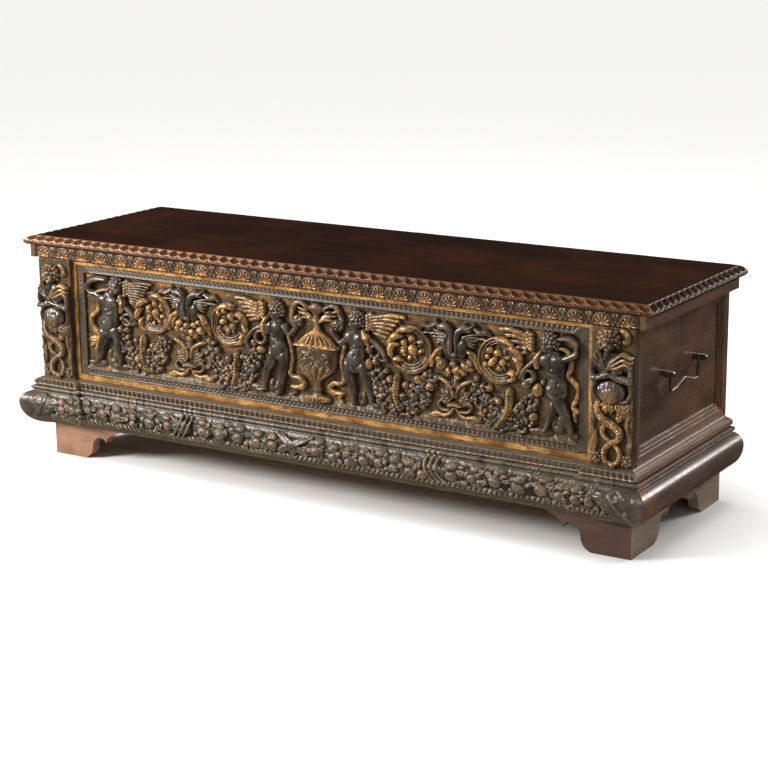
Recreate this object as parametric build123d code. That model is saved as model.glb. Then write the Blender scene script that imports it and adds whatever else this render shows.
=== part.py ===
from build123d import *
import os
from math import atan2, degrees, hypot

os.makedirs("parts", exist_ok=True)

# A carved walnut cassone: a low chest on bracket feet with a flat hinged lid and two iron bails.
# Millimetres, +Z up, +X to the right along the front, the front faces -Y.
# While a piece is drawn, y = 0 is the front edge of the lid's flat top; save() moves every piece so
# that the origin is on the floor under the middle of the whole chest.

# ---- lid
top_depth = 472.0
overall_height = 541.5
lid_thick = 17.5
gadroon_reach = 25.0
gadroon_tip_drop = 9.0
frieze_height = 32.5
frieze_thick = 16.0
frieze_front_reach = 18.7
frieze_side_reach = 6.0
frieze_gap = 1.0
batten_width = 60.0
batten_thick = 20.0
batten_setback = 28.0
batten_inset = 165.0
batten_bevel = 6.0

# ---- carcass
carcass_width = 1550.5
lid_side_overhang = 24.75
carcass_front = 2.0
back_overhang = 4.0
front_thick = 30.0
side_thick = 26.0
back_thick = 20.0
bottom_thick = 18.0
bottom_drop = 38.0
front_lap = 18.0
back_lap = 14.0
groove_depth = 8.0

# ---- facings of the front and the sides
facing = 9.0
pilaster_width = 96.0
pilaster_step = 10.0
gilt_side = 12.0
gilt_top = 9.5
gilt_bottom = 16.0
strip_side = 20.0
strip_top = 17.0
strip_bottom = 15.0
strip_thick = 7.0
ledge_rise = 14.0
ledge_depth = 6.0
rail_front = 6.0
rail_back = 28.0
rail_bottom = 20.0
rail_top = 44.0
rail_mould = 8.0
rail_step_outer = 6.5
rail_step_inner = 4.0

# ---- base mouldings and feet
cap_height = 22.0
cap_reach = 18.2
cap_nose = 9.0
cap_throat = 11.0
torus_height = 98.0
torus_reach = 46.0
torus_widest = 58.0
torus_upper = 26.0
torus_fillet_reach = 24.4
torus_fillet = 8.0
torus_quirk = 4.0
torus_lip = 7.0
foot_height = 80.0
foot_thick = 24.0
foot_front_length = 90.0
foot_side_length = 112.0
foot_rear_length = 94.0
foot_block = 40.0
foot_block_lift = 3.0

# ---- iron
axis_gap = 0.3
knuckle_radius = 4.5
pin_radius = 2.3
pin_play = 0.2
hinge_width = 60.0
hinge_tongue = 20.0
hinge_drop = 52.0
hinge_inset = 240.0
leaf_thick = 2.5
leaf_overlap = 0.5
nail_radius = 1.6
nail_head = 4.2
nail_head_rise = 1.4
nail_play = 0.1
nail_length = 14.0
back_nail_length = 38.0
back_nail_rows = 4
handle_y = 215.0
handle_drop = 171.5
staple_spread = 170.0
staple_reach = 31.0
staple_height = 13.0
staple_thick = 7.0
staple_shank = 6.4
staple_play = 0.1
rove_radius = 8.0
rove_thick = 2.5
pivot_reach = 16.0
bail_radius = 3.3
bail_play = 0.5
bail_corner_inset = 9.0
bail_toe_inset = 15.0
bail_drop = 42.0
bail_crest = 16.0
bail_bend = 6.0
bail_knob = 5.5
bail_knob_thick = 3.0
bail_grip_dip = 3.0

# ---- roughed-out relief: how far it stands out, and where its motifs stand between middle and pilaster
relief_high = 24.0
relief_low = 14.0
herm_relief = 22.0
figure_headroom = 4.0
inner_putto_share = 0.163
inner_roundel_share = 0.342
bird_share = 0.515
outer_roundel_share = 0.672
outer_putto_share = 0.855

# ---- places worked out from the sizes above
rim_z = overall_height - lid_thick
skirt_z = rim_z - frieze_height
front_top_z = skirt_z - frieze_gap
base_z = foot_height
torus_z = base_z + torus_height
cap_z = torus_z + cap_height
carcass_half = carcass_width / 2
half_top = carcass_half + lid_side_overhang
carcass_back = top_depth - back_overhang
inner_half = carcass_half - side_thick
inner_front = carcass_front + front_thick
inner_back = carcass_back - back_thick
body_half = carcass_half + facing
frame_y = carcass_front - facing
break_y = frame_y - pilaster_step
break_x = body_half - pilaster_width
hinge_y = top_depth + axis_gap + knuckle_radius
hinge_places = (-half_top + hinge_inset, 0.0, half_top - hinge_inset)
pivot_x = carcass_half + pivot_reach
pivot_z = overall_height - handle_drop
bottom_z = torus_z - bottom_drop
front_most = break_y - torus_reach
rear_most = hinge_y + knuckle_radius
mid_depth = (front_most + rear_most) / 2

front_plane = Plane(origin=(0, carcass_front, 0), x_dir=(1, 0, 0), z_dir=(0, -1, 0))
side_plane = Plane(origin=(carcass_half, 0, 0), x_dir=(0, 1, 0), z_dir=(1, 0, 0))


def save(name, *shapes):
    """Write one node, a single piece or a set of identical ones, moved into the final frame."""
    moved = [Location((0, -mid_depth, 0)) * shape for shape in shapes]
    export_step(moved[0] if len(moved) == 1 else Compound(children=moved), f"parts/{name}.step")


def block(x0, x1, y0, y1, z0, z1):
    middle = Location(((x0 + x1) / 2, (y0 + y1) / 2, (z0 + z1) / 2))
    return middle * Box(abs(x1 - x0), abs(y1 - y0), abs(z1 - z0))


def prism(plane, points, amount):
    face = plane * make_face(Polyline(*points, close=True))
    return extrude(face, amount, dir=plane.z_dir)


def rod(x, y, z, radius, length, axis):
    """A round bar whose middle is at x, y, z and whose axis is "x", "y" or "z"."""
    turn = {"x": Rot(0, 90, 0), "y": Rot(90, 0, 0), "z": Rot(0, 0, 0)}[axis]
    return Location((x, y, z)) * turn * Cylinder(radius, length)


def left_of(shape):
    return mirror(shape, about=Plane.YZ)


# ---- mouldings that run round the left, front and right

def run_moulding(profile, path_points, end_y):
    """Sweep a profile drawn as (outward, height) along the plan path, from the left's back end."""
    start = path_points[0]
    section = Plane(origin=(start[0], end_y, 0), x_dir=(-1, 0, 0), z_dir=(0, 1, 0))
    path = Polyline(*[(x, y, 0) for x, y in path_points])
    return sweep(section * profile, path=path, transition=Transition.RIGHT)


def mitre_parts(ring, corner_x, corner_y):
    """Cut a three-sided moulding at its two mitres into left, front and right."""
    left_cut = Plane(origin=(-corner_x, corner_y, 0), z_dir=(-1, 1, 0))
    right_cut = Plane(origin=(corner_x, corner_y, 0), z_dir=(1, 1, 0))
    left = split(ring, left_cut, keep=Keep.TOP)
    rest = split(ring, left_cut, keep=Keep.BOTTOM)
    right = split(rest, right_cut, keep=Keep.TOP)
    front = split(rest, right_cut, keep=Keep.BOTTOM)
    return {"left": left, "front": front, "right": right}


def gadroon_parts():
    tip_z = overall_height - gadroon_tip_drop
    top = TangentArc((0, overall_height), (gadroon_reach, tip_z), tangent=(1, 0))
    under = Line((gadroon_reach, tip_z), (frieze_front_reach, rim_z))
    back = Polyline((frieze_front_reach, rim_z), (0, rim_z), (0, overall_height))
    path = [(-half_top, top_depth), (-half_top, 0), (half_top, 0), (half_top, top_depth)]
    ring = run_moulding(make_face(top + under + back), path, top_depth)
    return mitre_parts(ring, half_top, 0)


def frieze_parts():
    edge_x = half_top + frieze_side_reach
    edge_y = -frieze_front_reach
    corners_of_board = [(-frieze_thick, skirt_z), (0, skirt_z), (0, rim_z), (-frieze_thick, rim_z)]
    profile = make_face(Polyline(*corners_of_board, close=True))
    path = [(-edge_x, carcass_back), (-edge_x, edge_y), (edge_x, edge_y), (edge_x, carcass_back)]
    return mitre_parts(run_moulding(profile, path, carcass_back), edge_x, edge_y)


def base_path():
    """Plan of the chest's faces at the base, stepping forward under each pilaster."""
    right_side = [(break_x, frame_y), (break_x, break_y), (body_half, break_y), (body_half, carcass_back)]
    return [(-x, y) for x, y in reversed(right_side)] + right_side


def base_parts(profile, low_z, high_z):
    """A base moulding's three pieces; the front one is packed out behind its two breaks."""
    parts = mitre_parts(run_moulding(profile, base_path(), carcass_back), body_half, break_y)
    packing = block(break_x + facing, carcass_half, break_y + facing, carcass_front, low_z, high_z)
    parts["front"] = parts["front"] + packing + left_of(packing)
    return parts


def cap_profile():
    nose_top = cap_z - cap_nose
    slope_middle = (0.3 * cap_reach, cap_z - 0.42 * cap_nose)
    slope_end = (0.62 * cap_reach, cap_z - 0.55 * cap_nose)
    slope = ThreePointArc((0, cap_z), slope_middle, slope_end)
    nose_low = (cap_reach, nose_top - cap_nose)
    nose = Polyline(slope_end, (cap_reach, nose_top), nose_low, (cap_throat, torus_z))
    back = Polyline((cap_throat, torus_z), (-facing, torus_z), (-facing, cap_z), (0, cap_z))
    return make_face(slope + nose + back)


def torus_profile():
    widest_z = base_z + torus_widest
    shoulder = torus_reach - torus_upper
    fillet_low = torus_z - torus_fillet
    top = Polyline((-facing, base_z), (-facing, torus_z), (cap_throat, torus_z),
                   (torus_fillet_reach, torus_z - 0.25 * torus_fillet), (torus_fillet_reach, fillet_low),
                   (shoulder, fillet_low - 0.5 * torus_quirk), (shoulder, widest_z + torus_upper))
    upper = EllipticalCenterArc((shoulder, widest_z), torus_upper, torus_upper, start_angle=0, arc_size=90)
    lower = EllipticalCenterArc((-torus_lip, widest_z), torus_reach + torus_lip, torus_widest,
                                start_angle=270, arc_size=90)
    lip = Line((-torus_lip, base_z), (-facing, base_z))
    return make_face(top + upper + lower + lip)


# ---- frames of mitred pieces

def frame_sides(plane, levels):
    """Four mitred pieces from nested rectangles (u0, v0, u1, v1); levels gives each band's height."""
    pieces = {}
    for name, first, second in (("bottom", 0, 1), ("back", 1, 2), ("top", 2, 3), ("front", 3, 0)):
        bands = []
        for outer, inner, height in levels:
            near = corners(outer)
            far = corners(inner)
            bands.append(prism(plane, [near[first], near[second], far[second], far[first]], height))
        piece = bands[0]
        for band in bands[1:]:
            piece = piece + band
        pieces[name] = piece
    return pieces


def corners(rectangle):
    u0, v0, u1, v1 = rectangle
    return [(u0, v0), (u1, v0), (u1, v1), (u0, v1)]


def side_rails():
    outer = (carcass_front, cap_z, carcass_back, rim_z)
    full = (outer[0] + rail_front, outer[1] + rail_bottom, outer[2] - rail_back, outer[3] - rail_top)
    middle = (full[0] + rail_mould, full[1] + rail_mould, full[2] - rail_mould, full[3] - rail_mould)
    inner = (middle[0] + rail_mould, middle[1] + rail_mould, middle[2] - rail_mould, middle[3] - rail_mould)
    levels = [(outer, full, facing), (full, middle, rail_step_outer), (middle, inner, rail_step_inner)]
    return frame_sides(side_plane, levels)


def front_frames():
    outer = (-break_x, cap_z, break_x, front_top_z)
    gilt = (-break_x + gilt_side, cap_z + gilt_bottom, break_x - gilt_side, front_top_z - gilt_top)
    strip = (gilt[0] + strip_side, gilt[1] + strip_bottom, gilt[2] - strip_side, gilt[3] - strip_top)
    fillets = frame_sides(front_plane, [(outer, gilt, facing)])
    strips = frame_sides(front_plane, [(gilt, strip, strip_thick)])
    return fillets, strips, strip


# ---- roughed-out relief, drawn as outlines on the front and raised from it

def limb(start, end, radius):
    span = hypot(end[0] - start[0], end[1] - start[1])
    turn = degrees(atan2(end[1] - start[1], end[0] - start[0]))
    middle = Location(((start[0] + end[0]) / 2, (start[1] + end[1]) / 2))
    return middle * Rot(0, 0, turn) * SlotCenterToCenter(span, 2 * radius)


def raised(outlines, height):
    sketch = outlines[0]
    for outline in outlines[1:]:
        sketch = sketch + outline
    return extrude(front_plane * sketch, height, dir=front_plane.z_dir)


def putto(x, z, out, tall):
    """A child figure of a given height standing at x, feet at z; out is +1 or -1, its outer arm's side."""

    def spot(along, up):
        return (x + out * along * tall, z + up * tall)

    return [
        Location(spot(0.02, 0.91)) * Circle(0.088 * tall),
        Location(spot(0.0, 0.60)) * Ellipse(0.115 * tall, 0.235 * tall),
        limb(spot(0.055, 0.41), spot(0.11, 0.06), 0.06 * tall),
        limb(spot(-0.045, 0.40), spot(-0.065, 0.06), 0.06 * tall),
        limb(spot(0.085, 0.74), spot(0.21, 0.86), 0.042 * tall),
        limb(spot(-0.085, 0.73), spot(-0.19, 0.55), 0.042 * tall),
    ]


def front_relief(field):
    """High figures and low ornament of the right half, mirrored to the left, with the urn between."""
    foot_z = field[1] + ledge_rise
    tall = field[3] - foot_z - figure_headroom
    roundel_z = foot_z + 0.665 * tall
    figures = putto(outer_putto_share * break_x, foot_z, 1, tall)
    figures = figures + putto(inner_putto_share * break_x, foot_z, -1, tall)
    ornament = []
    swag_z = foot_z + 0.27 * tall
    swag_half = 0.16 * tall
    for share in (inner_roundel_share, outer_roundel_share):
        x = share * break_x
        ornament.append(Location((x, roundel_z)) * Circle(0.22 * tall))
        ornament.append(limb((x - swag_half, swag_z), (x + swag_half, swag_z), 0.12 * tall))
    bird_x = bird_share * break_x
    ornament.append(limb((bird_x, foot_z + 0.10 * tall), (bird_x, foot_z + 0.29 * tall), 0.085 * tall))
    ornament.append(Location((bird_x, roundel_z + 0.13 * tall)) * Ellipse(0.21 * tall, 0.155 * tall))
    right = raised(figures, relief_high) + raised(ornament, relief_low)
    urn = raised([
        Location((0, foot_z + 0.47 * tall)) * Ellipse(0.24 * tall, 0.215 * tall),
        limb((0, foot_z + 0.075 * tall), (0, foot_z + 0.28 * tall), 0.07 * tall),
        limb((0, foot_z + 0.65 * tall), (0, foot_z + 0.91 * tall), 0.055 * tall),
    ], relief_high)
    return right + left_of(right) + urn


def herm(side):
    """Pilaster on the right (+1) or left (-1): a board with a half figure ending in twined tails."""
    board = block(side * break_x, side * body_half, break_y, carcass_front, cap_z, front_top_z)
    middle = side * (break_x + pilaster_width / 2)
    tall = front_top_z - cap_z
    wide = pilaster_width

    def arm(share):
        level = cap_z + share * tall
        return limb((middle - 0.31 * wide, level), (middle + 0.31 * wide, level), 0.135 * wide)

    outlines = [
        Location((middle, cap_z + 0.87 * tall)) * Ellipse(0.22 * wide, 0.09 * tall),
        arm(0.70),
        arm(0.61),
        Location((middle, cap_z + 0.60 * tall)) * Ellipse(0.27 * wide, 0.16 * tall),
        Location((middle, cap_z + 0.25 * tall)) * Ellipse(0.25 * wide, 0.235 * tall),
    ]
    figure = raised(outlines, facing + pilaster_step + herm_relief)
    return board + figure


# ---- boards of the chest

def front_board(field):
    board = block(-carcass_half, carcass_half, carcass_front, inner_front, base_z, rim_z)
    for side in (-1, 1):
        board = board - block(side * inner_half, side * carcass_half, carcass_front + front_lap, inner_front,
                              base_z, rim_z)
    board = board - block(-inner_half, inner_half, inner_front - groove_depth, inner_front,
                          bottom_z - bottom_thick, bottom_z)
    wedge = Plane(origin=(field[0], carcass_front, field[1]), x_dir=(0, -1, 0), z_dir=(1, 0, 0))
    ledge = prism(wedge, [(0, 0), (ledge_depth, 0), (0, -ledge_rise)], field[2] - field[0])
    return board + ledge + front_relief(field)


def side_board(shank_holes):
    board = block(inner_half, carcass_half, carcass_front + front_lap, carcass_back, base_z, rim_z)
    board = board - block(inner_half, inner_half + back_lap, inner_back, carcass_back, base_z, rim_z)
    board = board - block(inner_half, inner_half + groove_depth, carcass_front + front_lap, inner_back,
                          bottom_z - bottom_thick, bottom_z)
    for hole in shank_holes:
        board = board - hole
    return board


def back_boards():
    half = inner_half + back_lap
    joint_z = (base_z + rim_z) / 2
    lower = block(-half, half, inner_back, carcass_back, base_z, joint_z)
    groove_half = inner_half + groove_depth
    lower = lower - block(-groove_half, groove_half, inner_back, inner_back + groove_depth,
                          bottom_z - bottom_thick, bottom_z)
    upper = block(-half, half, inner_back, carcass_back, joint_z, rim_z)
    return lower, upper


def bottom_boards():
    half = inner_half + groove_depth
    front_edge = inner_front - groove_depth
    back_edge = inner_back + groove_depth
    joint_y = (front_edge + back_edge) / 2
    front = block(-half, half, front_edge, joint_y, bottom_z - bottom_thick, bottom_z)
    rear = block(-half, half, joint_y, back_edge, bottom_z - bottom_thick, bottom_z)
    return front, rear


# ---- feet

def bracket(plane, length, thick):
    """A bracket foot board: (along, height) from its corner, with an ogee, an arch, a cusp and a tail."""

    def spot(past, up):
        return (length + past * foot_height, up * foot_height)

    ogee = ThreePointArc(spot(0, 0), spot(0.21, 0.12), spot(0.325, 0.35))
    arch = ThreePointArc(spot(0.325, 0.35), spot(0.425, 0.62), spot(0.625, 0.72))
    hollow = ThreePointArc(spot(0.625, 0.72), spot(0.775, 0.69), spot(0.85, 0.58))
    shoulder = ThreePointArc(spot(0.85, 0.58), spot(0.94, 0.74), spot(1.1, 0.84))
    tail = Line(spot(1.1, 0.84), spot(1.45, 1))
    rest = Polyline(spot(1.45, 1), (0, foot_height), (0, 0), spot(0, 0))
    outline = make_face(ogee + arch + hollow + shoulder + tail + rest)
    return extrude(plane * outline, thick, dir=plane.z_dir)


def front_foot():
    """Face board and side board of the right front foot, mitred at the corner."""
    face_plane = Plane(origin=(carcass_half, carcass_front, 0), x_dir=(-1, 0, 0), z_dir=(0, 1, 0))
    edge_plane = Plane(origin=(carcass_half, carcass_front, 0), x_dir=(0, 1, 0), z_dir=(1, 0, 0))
    mitre = Plane(origin=(carcass_half, carcass_front, 0), z_dir=(1, 1, 0))
    face = split(bracket(face_plane, foot_front_length, foot_thick), mitre, keep=Keep.BOTTOM)
    edge = split(bracket(edge_plane, foot_side_length, -foot_thick), mitre, keep=Keep.TOP)
    return face, edge


def rear_foot():
    """Side board and back board of the right rear foot, butted."""
    edge_plane = Plane(origin=(carcass_half, carcass_back, 0), x_dir=(0, -1, 0), z_dir=(-1, 0, 0))
    back_plane = Plane(origin=(carcass_half - foot_thick, carcass_back, 0), x_dir=(-1, 0, 0), z_dir=(0, 1, 0))
    edge = bracket(edge_plane, foot_rear_length, foot_thick)
    back = bracket(back_plane, foot_rear_length - foot_thick, -foot_thick)
    return edge, back


def foot_blocks():
    outer = carcass_half - foot_thick
    front = carcass_front + foot_thick
    back = carcass_back - foot_thick
    right = [block(outer - foot_block, outer, front, front + foot_block, foot_block_lift, foot_height),
             block(outer - foot_block, outer, back - foot_block, back, foot_block_lift, foot_height)]
    return right + [left_of(item) for item in right]


# ---- iron handles

def square_bar(x0, x1, y, width):
    return block(x0, x1, y - width / 2, y + width / 2, pivot_z - width / 2, pivot_z + width / 2)


def staple(y):
    """A flat eye that stands off the side, with its shank through the board and a rove inside."""
    end_x = carcass_half + staple_reach
    round_x = end_x - staple_height / 2
    lug = block(carcass_half, round_x, y - staple_thick / 2, y + staple_thick / 2,
                pivot_z - staple_height / 2, pivot_z + staple_height / 2)
    lug = lug + rod(round_x, y, pivot_z, staple_height / 2, staple_thick, "y")
    lug = lug - rod(pivot_x, y, pivot_z, bail_radius + bail_play, 2 * staple_thick, "y")
    shank = square_bar(inner_half, carcass_half, y, staple_shank)
    rove = rod(inner_half - rove_thick / 2, y, pivot_z, rove_radius, rove_thick, "x")
    return lug + shank + rove


def bail():
    """The hanging grip: ends in the eyes, legs down, and a grip that rises to a crest in the middle."""
    half = staple_spread / 2
    end = half + staple_thick / 2 + bail_knob_thick
    corner = half - bail_corner_inset
    toe = half - bail_toe_inset
    right = [(toe * 0.62, -bail_drop + bail_grip_dip), (toe, -bail_drop), (corner, 0), (end, 0)]
    points = [(-y, z) for y, z in reversed(right)] + [(0, -bail_drop + bail_crest)] + right
    path_points = [(pivot_x, handle_y + y, pivot_z + z) for y, z in points]
    bends = [bail_bend, bail_bend, 3 * bail_bend, 3 * bail_bend, 3 * bail_bend, bail_bend, bail_bend]
    path = FilletPolyline(*path_points, radius=bends)
    section = Plane(origin=path_points[0], z_dir=(0, 1, 0)) * Circle(bail_radius)
    grip = sweep(section, path=path)
    for side in (-1, 1):
        knob_y = handle_y + side * (end + bail_knob_thick / 2)
        grip = grip + rod(pivot_x, knob_y, pivot_z, bail_knob, bail_knob_thick, "y")
    return grip


# ---- iron hinges

def knuckle(x, width):
    barrel = rod(x, hinge_y, rim_z, knuckle_radius, width, "x")
    return barrel - rod(x, hinge_y, rim_z, pin_radius + pin_play, 2 * width, "x")


def lid_leaf(x):
    width = hinge_tongue
    plate_top = overall_height - axis_gap
    plate = block(x - hinge_width / 2, x + hinge_width / 2, top_depth, top_depth + leaf_thick,
                  rim_z + knuckle_radius + axis_gap, plate_top)
    web = block(x - width / 2, x + width / 2, top_depth, top_depth + leaf_thick, rim_z + axis_gap, plate_top)
    web = web - rod(x, hinge_y, rim_z, knuckle_radius - leaf_overlap, 2 * width, "x")
    return plate + web + knuckle(x, width)


def body_leaf(x):
    width = (hinge_width - hinge_tongue) / 2 - axis_gap
    leaf = block(x - hinge_width / 2, x + hinge_width / 2, carcass_back, carcass_back + leaf_thick,
                 rim_z - hinge_drop, rim_z - knuckle_radius)
    for side in (-1, 1):
        middle = x + side * (hinge_width / 2 - width / 2)
        web = block(middle - width / 2, middle + width / 2, carcass_back, hinge_y, rim_z - knuckle_radius,
                    rim_z - axis_gap)
        web = web - rod(middle, hinge_y, rim_z, pin_radius + pin_play, 2 * width, "x")
        leaf = leaf + web + knuckle(middle, width)
    return leaf


def nail(x, y, z, length):
    """A nail driven forward (-Y) whose domed head bears at y."""
    head = Location((x, y, z)) * Rot(-90, 0, 0) * Cone(nail_head, 0.5 * nail_head, nail_head_rise,
                                                       align=(Align.CENTER, Align.CENTER, Align.MIN))
    return head + rod(x, y - length / 2, z, nail_radius, length, "y")


def lid_nail_places():
    z = (rim_z + knuckle_radius + overall_height) / 2
    return [(x + side * hinge_width / 3, z) for x in hinge_places for side in (-1, 1)]


def body_nail_places():
    rows = (rim_z - 0.4 * hinge_drop, rim_z - 0.8 * hinge_drop)
    return [(x + side * hinge_width / 4, z) for x in hinge_places for side in (-1, 1) for z in rows]


def back_nail_places():
    edge_x = inner_half + back_lap / 2
    pitch = (rim_z - bottom_z) / back_nail_rows
    rows = [bottom_z + pitch * (row + 0.5) for row in range(back_nail_rows)]
    return [(side * edge_x, z) for side in (-1, 1) for z in rows]


def drill(shape, places, y, length):
    """Nail holes from the face at y, as deep as the nails are long."""
    for x, z in places:
        shape = shape - rod(x, y, z, nail_radius + nail_play, 2 * length, "y")
    return shape


# ---- assembly

def build_lid():
    seam_y = top_depth / 2
    save("lid_board_front", block(-half_top, half_top, 0, seam_y, rim_z, overall_height))
    rear = block(-half_top, half_top, seam_y, top_depth, rim_z, overall_height)
    save("lid_board_rear", drill(rear, lid_nail_places(), top_depth, nail_length))
    for name, part in gadroon_parts().items():
        save(f"lid_gadroon_{name}", part)
    for name, part in frieze_parts().items():
        save(f"lid_frieze_{name}", part)
    battens = []
    for x in (-half_top + batten_inset, 0.0, half_top - batten_inset):
        batten = block(x - batten_width / 2, x + batten_width / 2, inner_front + batten_setback,
                       inner_back - batten_setback, rim_z - batten_thick, rim_z)
        lower = batten.edges().filter_by(Axis.Y).sort_by(Axis.Z)[:2]
        battens.append(chamfer(lower, batten_bevel))
    save("lid_battens", *battens)
    leaves = [drill(lid_leaf(x), lid_nail_places(), top_depth, nail_length) for x in hinge_places]
    save("hinge_leaves_lid", *leaves)
    face_y = top_depth + leaf_thick
    save("hinge_nails_lid", *[nail(x, face_y, z, nail_length) for x, z in lid_nail_places()])


def build_front():
    fillets, strips, field = front_frames()
    side_names = {"bottom": "bottom", "back": "right", "top": "top", "front": "left"}
    for key, name in side_names.items():
        save(f"gilt_fillet_{name}", fillets[key])
        save(f"frame_strip_{name}", strips[key])
    save("front_board", front_board(field))
    save("pilaster_right", herm(1))
    save("pilaster_left", herm(-1))


def build_sides():
    staple_places = [handle_y + side * staple_spread / 2 for side in (-1, 1)]
    holes = [square_bar(inner_half, carcass_half, y, staple_shank + 2 * staple_play) for y in staple_places]
    right = drill(side_board(holes), back_nail_places(), carcass_back, back_nail_length)
    save("side_board_right", right)
    save("side_board_left", left_of(right))
    for name, rail in side_rails().items():
        save(f"side_rail_{name}_right", rail)
        save(f"side_rail_{name}_left", left_of(rail))
    staples = [staple(y) for y in staple_places]
    save("handle_staples_right", *staples)
    save("handle_staples_left", *[left_of(item) for item in staples])
    grip = bail()
    save("handle_right", grip)
    save("handle_left", left_of(grip))


def build_back_and_bottom():
    lower, upper = back_boards()
    lower = drill(lower, back_nail_places(), carcass_back, back_nail_length)
    upper = drill(upper, back_nail_places(), carcass_back, back_nail_length)
    upper = drill(upper, body_nail_places(), carcass_back, nail_length)
    save("back_board_lower", lower)
    save("back_board_upper", upper)
    front, rear = bottom_boards()
    save("bottom_board_front", front)
    save("bottom_board_rear", rear)
    nails = [nail(x, carcass_back, z, back_nail_length) for x, z in back_nail_places()]
    save("back_board_nails", *nails)
    leaves = [drill(body_leaf(x), body_nail_places(), carcass_back, nail_length) for x in hinge_places]
    save("hinge_leaves_body", *leaves)
    pins = [rod(x, hinge_y, rim_z, pin_radius, hinge_width, "x") for x in hinge_places]
    save("hinge_pins", *pins)
    face_y = carcass_back + leaf_thick
    save("hinge_nails_body", *[nail(x, face_y, z, nail_length) for x, z in body_nail_places()])


def build_base():
    for name, part in base_parts(cap_profile(), torus_z, cap_z).items():
        save(f"base_cap_{name}", part)
    for name, part in base_parts(torus_profile(), base_z, torus_z).items():
        save(f"base_torus_{name}", part)
    face, edge = front_foot()
    save("foot_front_right_face", face)
    save("foot_front_right_side", edge)
    save("foot_front_left_face", left_of(face))
    save("foot_front_left_side", left_of(edge))
    edge, back = rear_foot()
    save("foot_rear_right_side", edge)
    save("foot_rear_right_back", back)
    save("foot_rear_left_side", left_of(edge))
    save("foot_rear_left_back", left_of(back))
    save("foot_blocks", *foot_blocks())


build_lid()
build_front()
build_sides()
build_back_and_bottom()
build_base()
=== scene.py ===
import math
import bpy
import numpy as np
from mathutils import Matrix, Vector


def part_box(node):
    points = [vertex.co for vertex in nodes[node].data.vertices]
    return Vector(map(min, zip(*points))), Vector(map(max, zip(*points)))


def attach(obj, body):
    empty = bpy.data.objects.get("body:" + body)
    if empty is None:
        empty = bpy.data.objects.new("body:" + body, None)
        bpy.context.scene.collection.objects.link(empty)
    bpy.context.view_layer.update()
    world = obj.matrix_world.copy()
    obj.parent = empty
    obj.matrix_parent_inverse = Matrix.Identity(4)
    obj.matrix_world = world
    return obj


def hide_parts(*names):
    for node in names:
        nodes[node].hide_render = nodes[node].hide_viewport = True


# A carved and part-gilt walnut cassone. Shapes are worked out in millimetres with y = 0 at the front edge of
# the lid's flat top, and toFrame() turns them into metres in the part's own frame.

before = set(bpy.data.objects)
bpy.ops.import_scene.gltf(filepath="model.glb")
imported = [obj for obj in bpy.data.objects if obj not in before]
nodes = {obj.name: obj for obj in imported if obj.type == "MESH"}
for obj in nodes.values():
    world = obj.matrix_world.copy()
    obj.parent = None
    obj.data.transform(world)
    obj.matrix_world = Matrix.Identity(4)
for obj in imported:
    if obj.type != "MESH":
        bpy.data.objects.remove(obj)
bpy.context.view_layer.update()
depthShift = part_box("lid_board_front")[0].y * 1000.0


def toFrame(x, y, z):
    # working millimetres to metres in the part's frame
    return np.stack(np.broadcast_arrays(x, y + depthShift, z), -1) / 1000.0


def span(node):
    # lowest and highest corner of a CAD node, in the working millimetres
    return [np.array(corner) * 1000.0 - (0, depthShift, 0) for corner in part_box(node)]


def linked(name, data):
    # a new object in the scene
    piece = bpy.data.objects.new(name, data)
    bpy.context.scene.collection.objects.link(piece)
    return piece


# meshes

def signedVolume(points, faceSizes, corners):
    # six times the volume, as the sum over fans of triangles of a . (b x c)
    total = 0.0
    start = 0
    for size, count in faceSizes:
        block = corners[start:start + size * count].reshape(count, size)
        a = points[block[:, 0]]
        for k in range(1, size - 1):
            total += np.einsum("ij,ij->i", a, np.cross(points[block[:, k]], points[block[:, k + 1]])).sum()
        start += size * count
    return total


def carvedPart(material, *replaced, body="chest", slot="carved_walnut"):
    # how a carved piece belongs to the part: its body and material, and the CAD nodes it stands for; the slot
    # is kept but not used
    return dict(material=material, body=body, slot=slot, replaces=replaced)


def meshPiece(name, points, faceSets, look, values=None, smoothSets=(0,)):
    # faceSets is a list of index arrays, one row per face; all faces are turned outwards together, and
    # values holds one number per point for each attribute the material reads
    points = np.asarray(points, float).reshape(-1, 3)
    faceSizes = [(f.shape[1], f.shape[0]) for f in faceSets]
    corners = np.concatenate([f.ravel() for f in faceSets])
    if signedVolume(points, faceSizes, corners) < 0:
        corners = np.concatenate([f[:, ::-1].ravel() for f in faceSets])
    totals = np.concatenate([np.full(count, size) for size, count in faceSizes])
    smooth = np.concatenate([np.full(count, i in smoothSets) for i, (size, count) in enumerate(faceSizes)])
    mesh = bpy.data.meshes.new(name)
    mesh.vertices.add(len(points))
    mesh.vertices.foreach_set("co", points.astype(np.float32).ravel())
    mesh.loops.add(len(corners))
    mesh.loops.foreach_set("vertex_index", corners.astype(np.int32))
    mesh.polygons.add(len(totals))
    mesh.polygons.foreach_set("loop_start", (np.cumsum(totals) - totals).astype(np.int32))
    mesh.polygons.foreach_set("loop_total", totals.astype(np.int32))
    mesh.update(calc_edges=True)
    mesh.polygons.foreach_set("use_smooth", smooth)
    for key, data in (values or {}).items():
        layer = mesh.attributes.new(key, "FLOAT", "POINT")
        layer.data.foreach_set("value", np.asarray(data, np.float32).ravel())
    mesh.validate()
    mesh.materials.append(look["material"])
    piece = linked(name, mesh)
    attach(piece, look["body"])
    if look["replaces"]:
        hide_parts(*look["replaces"])


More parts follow.
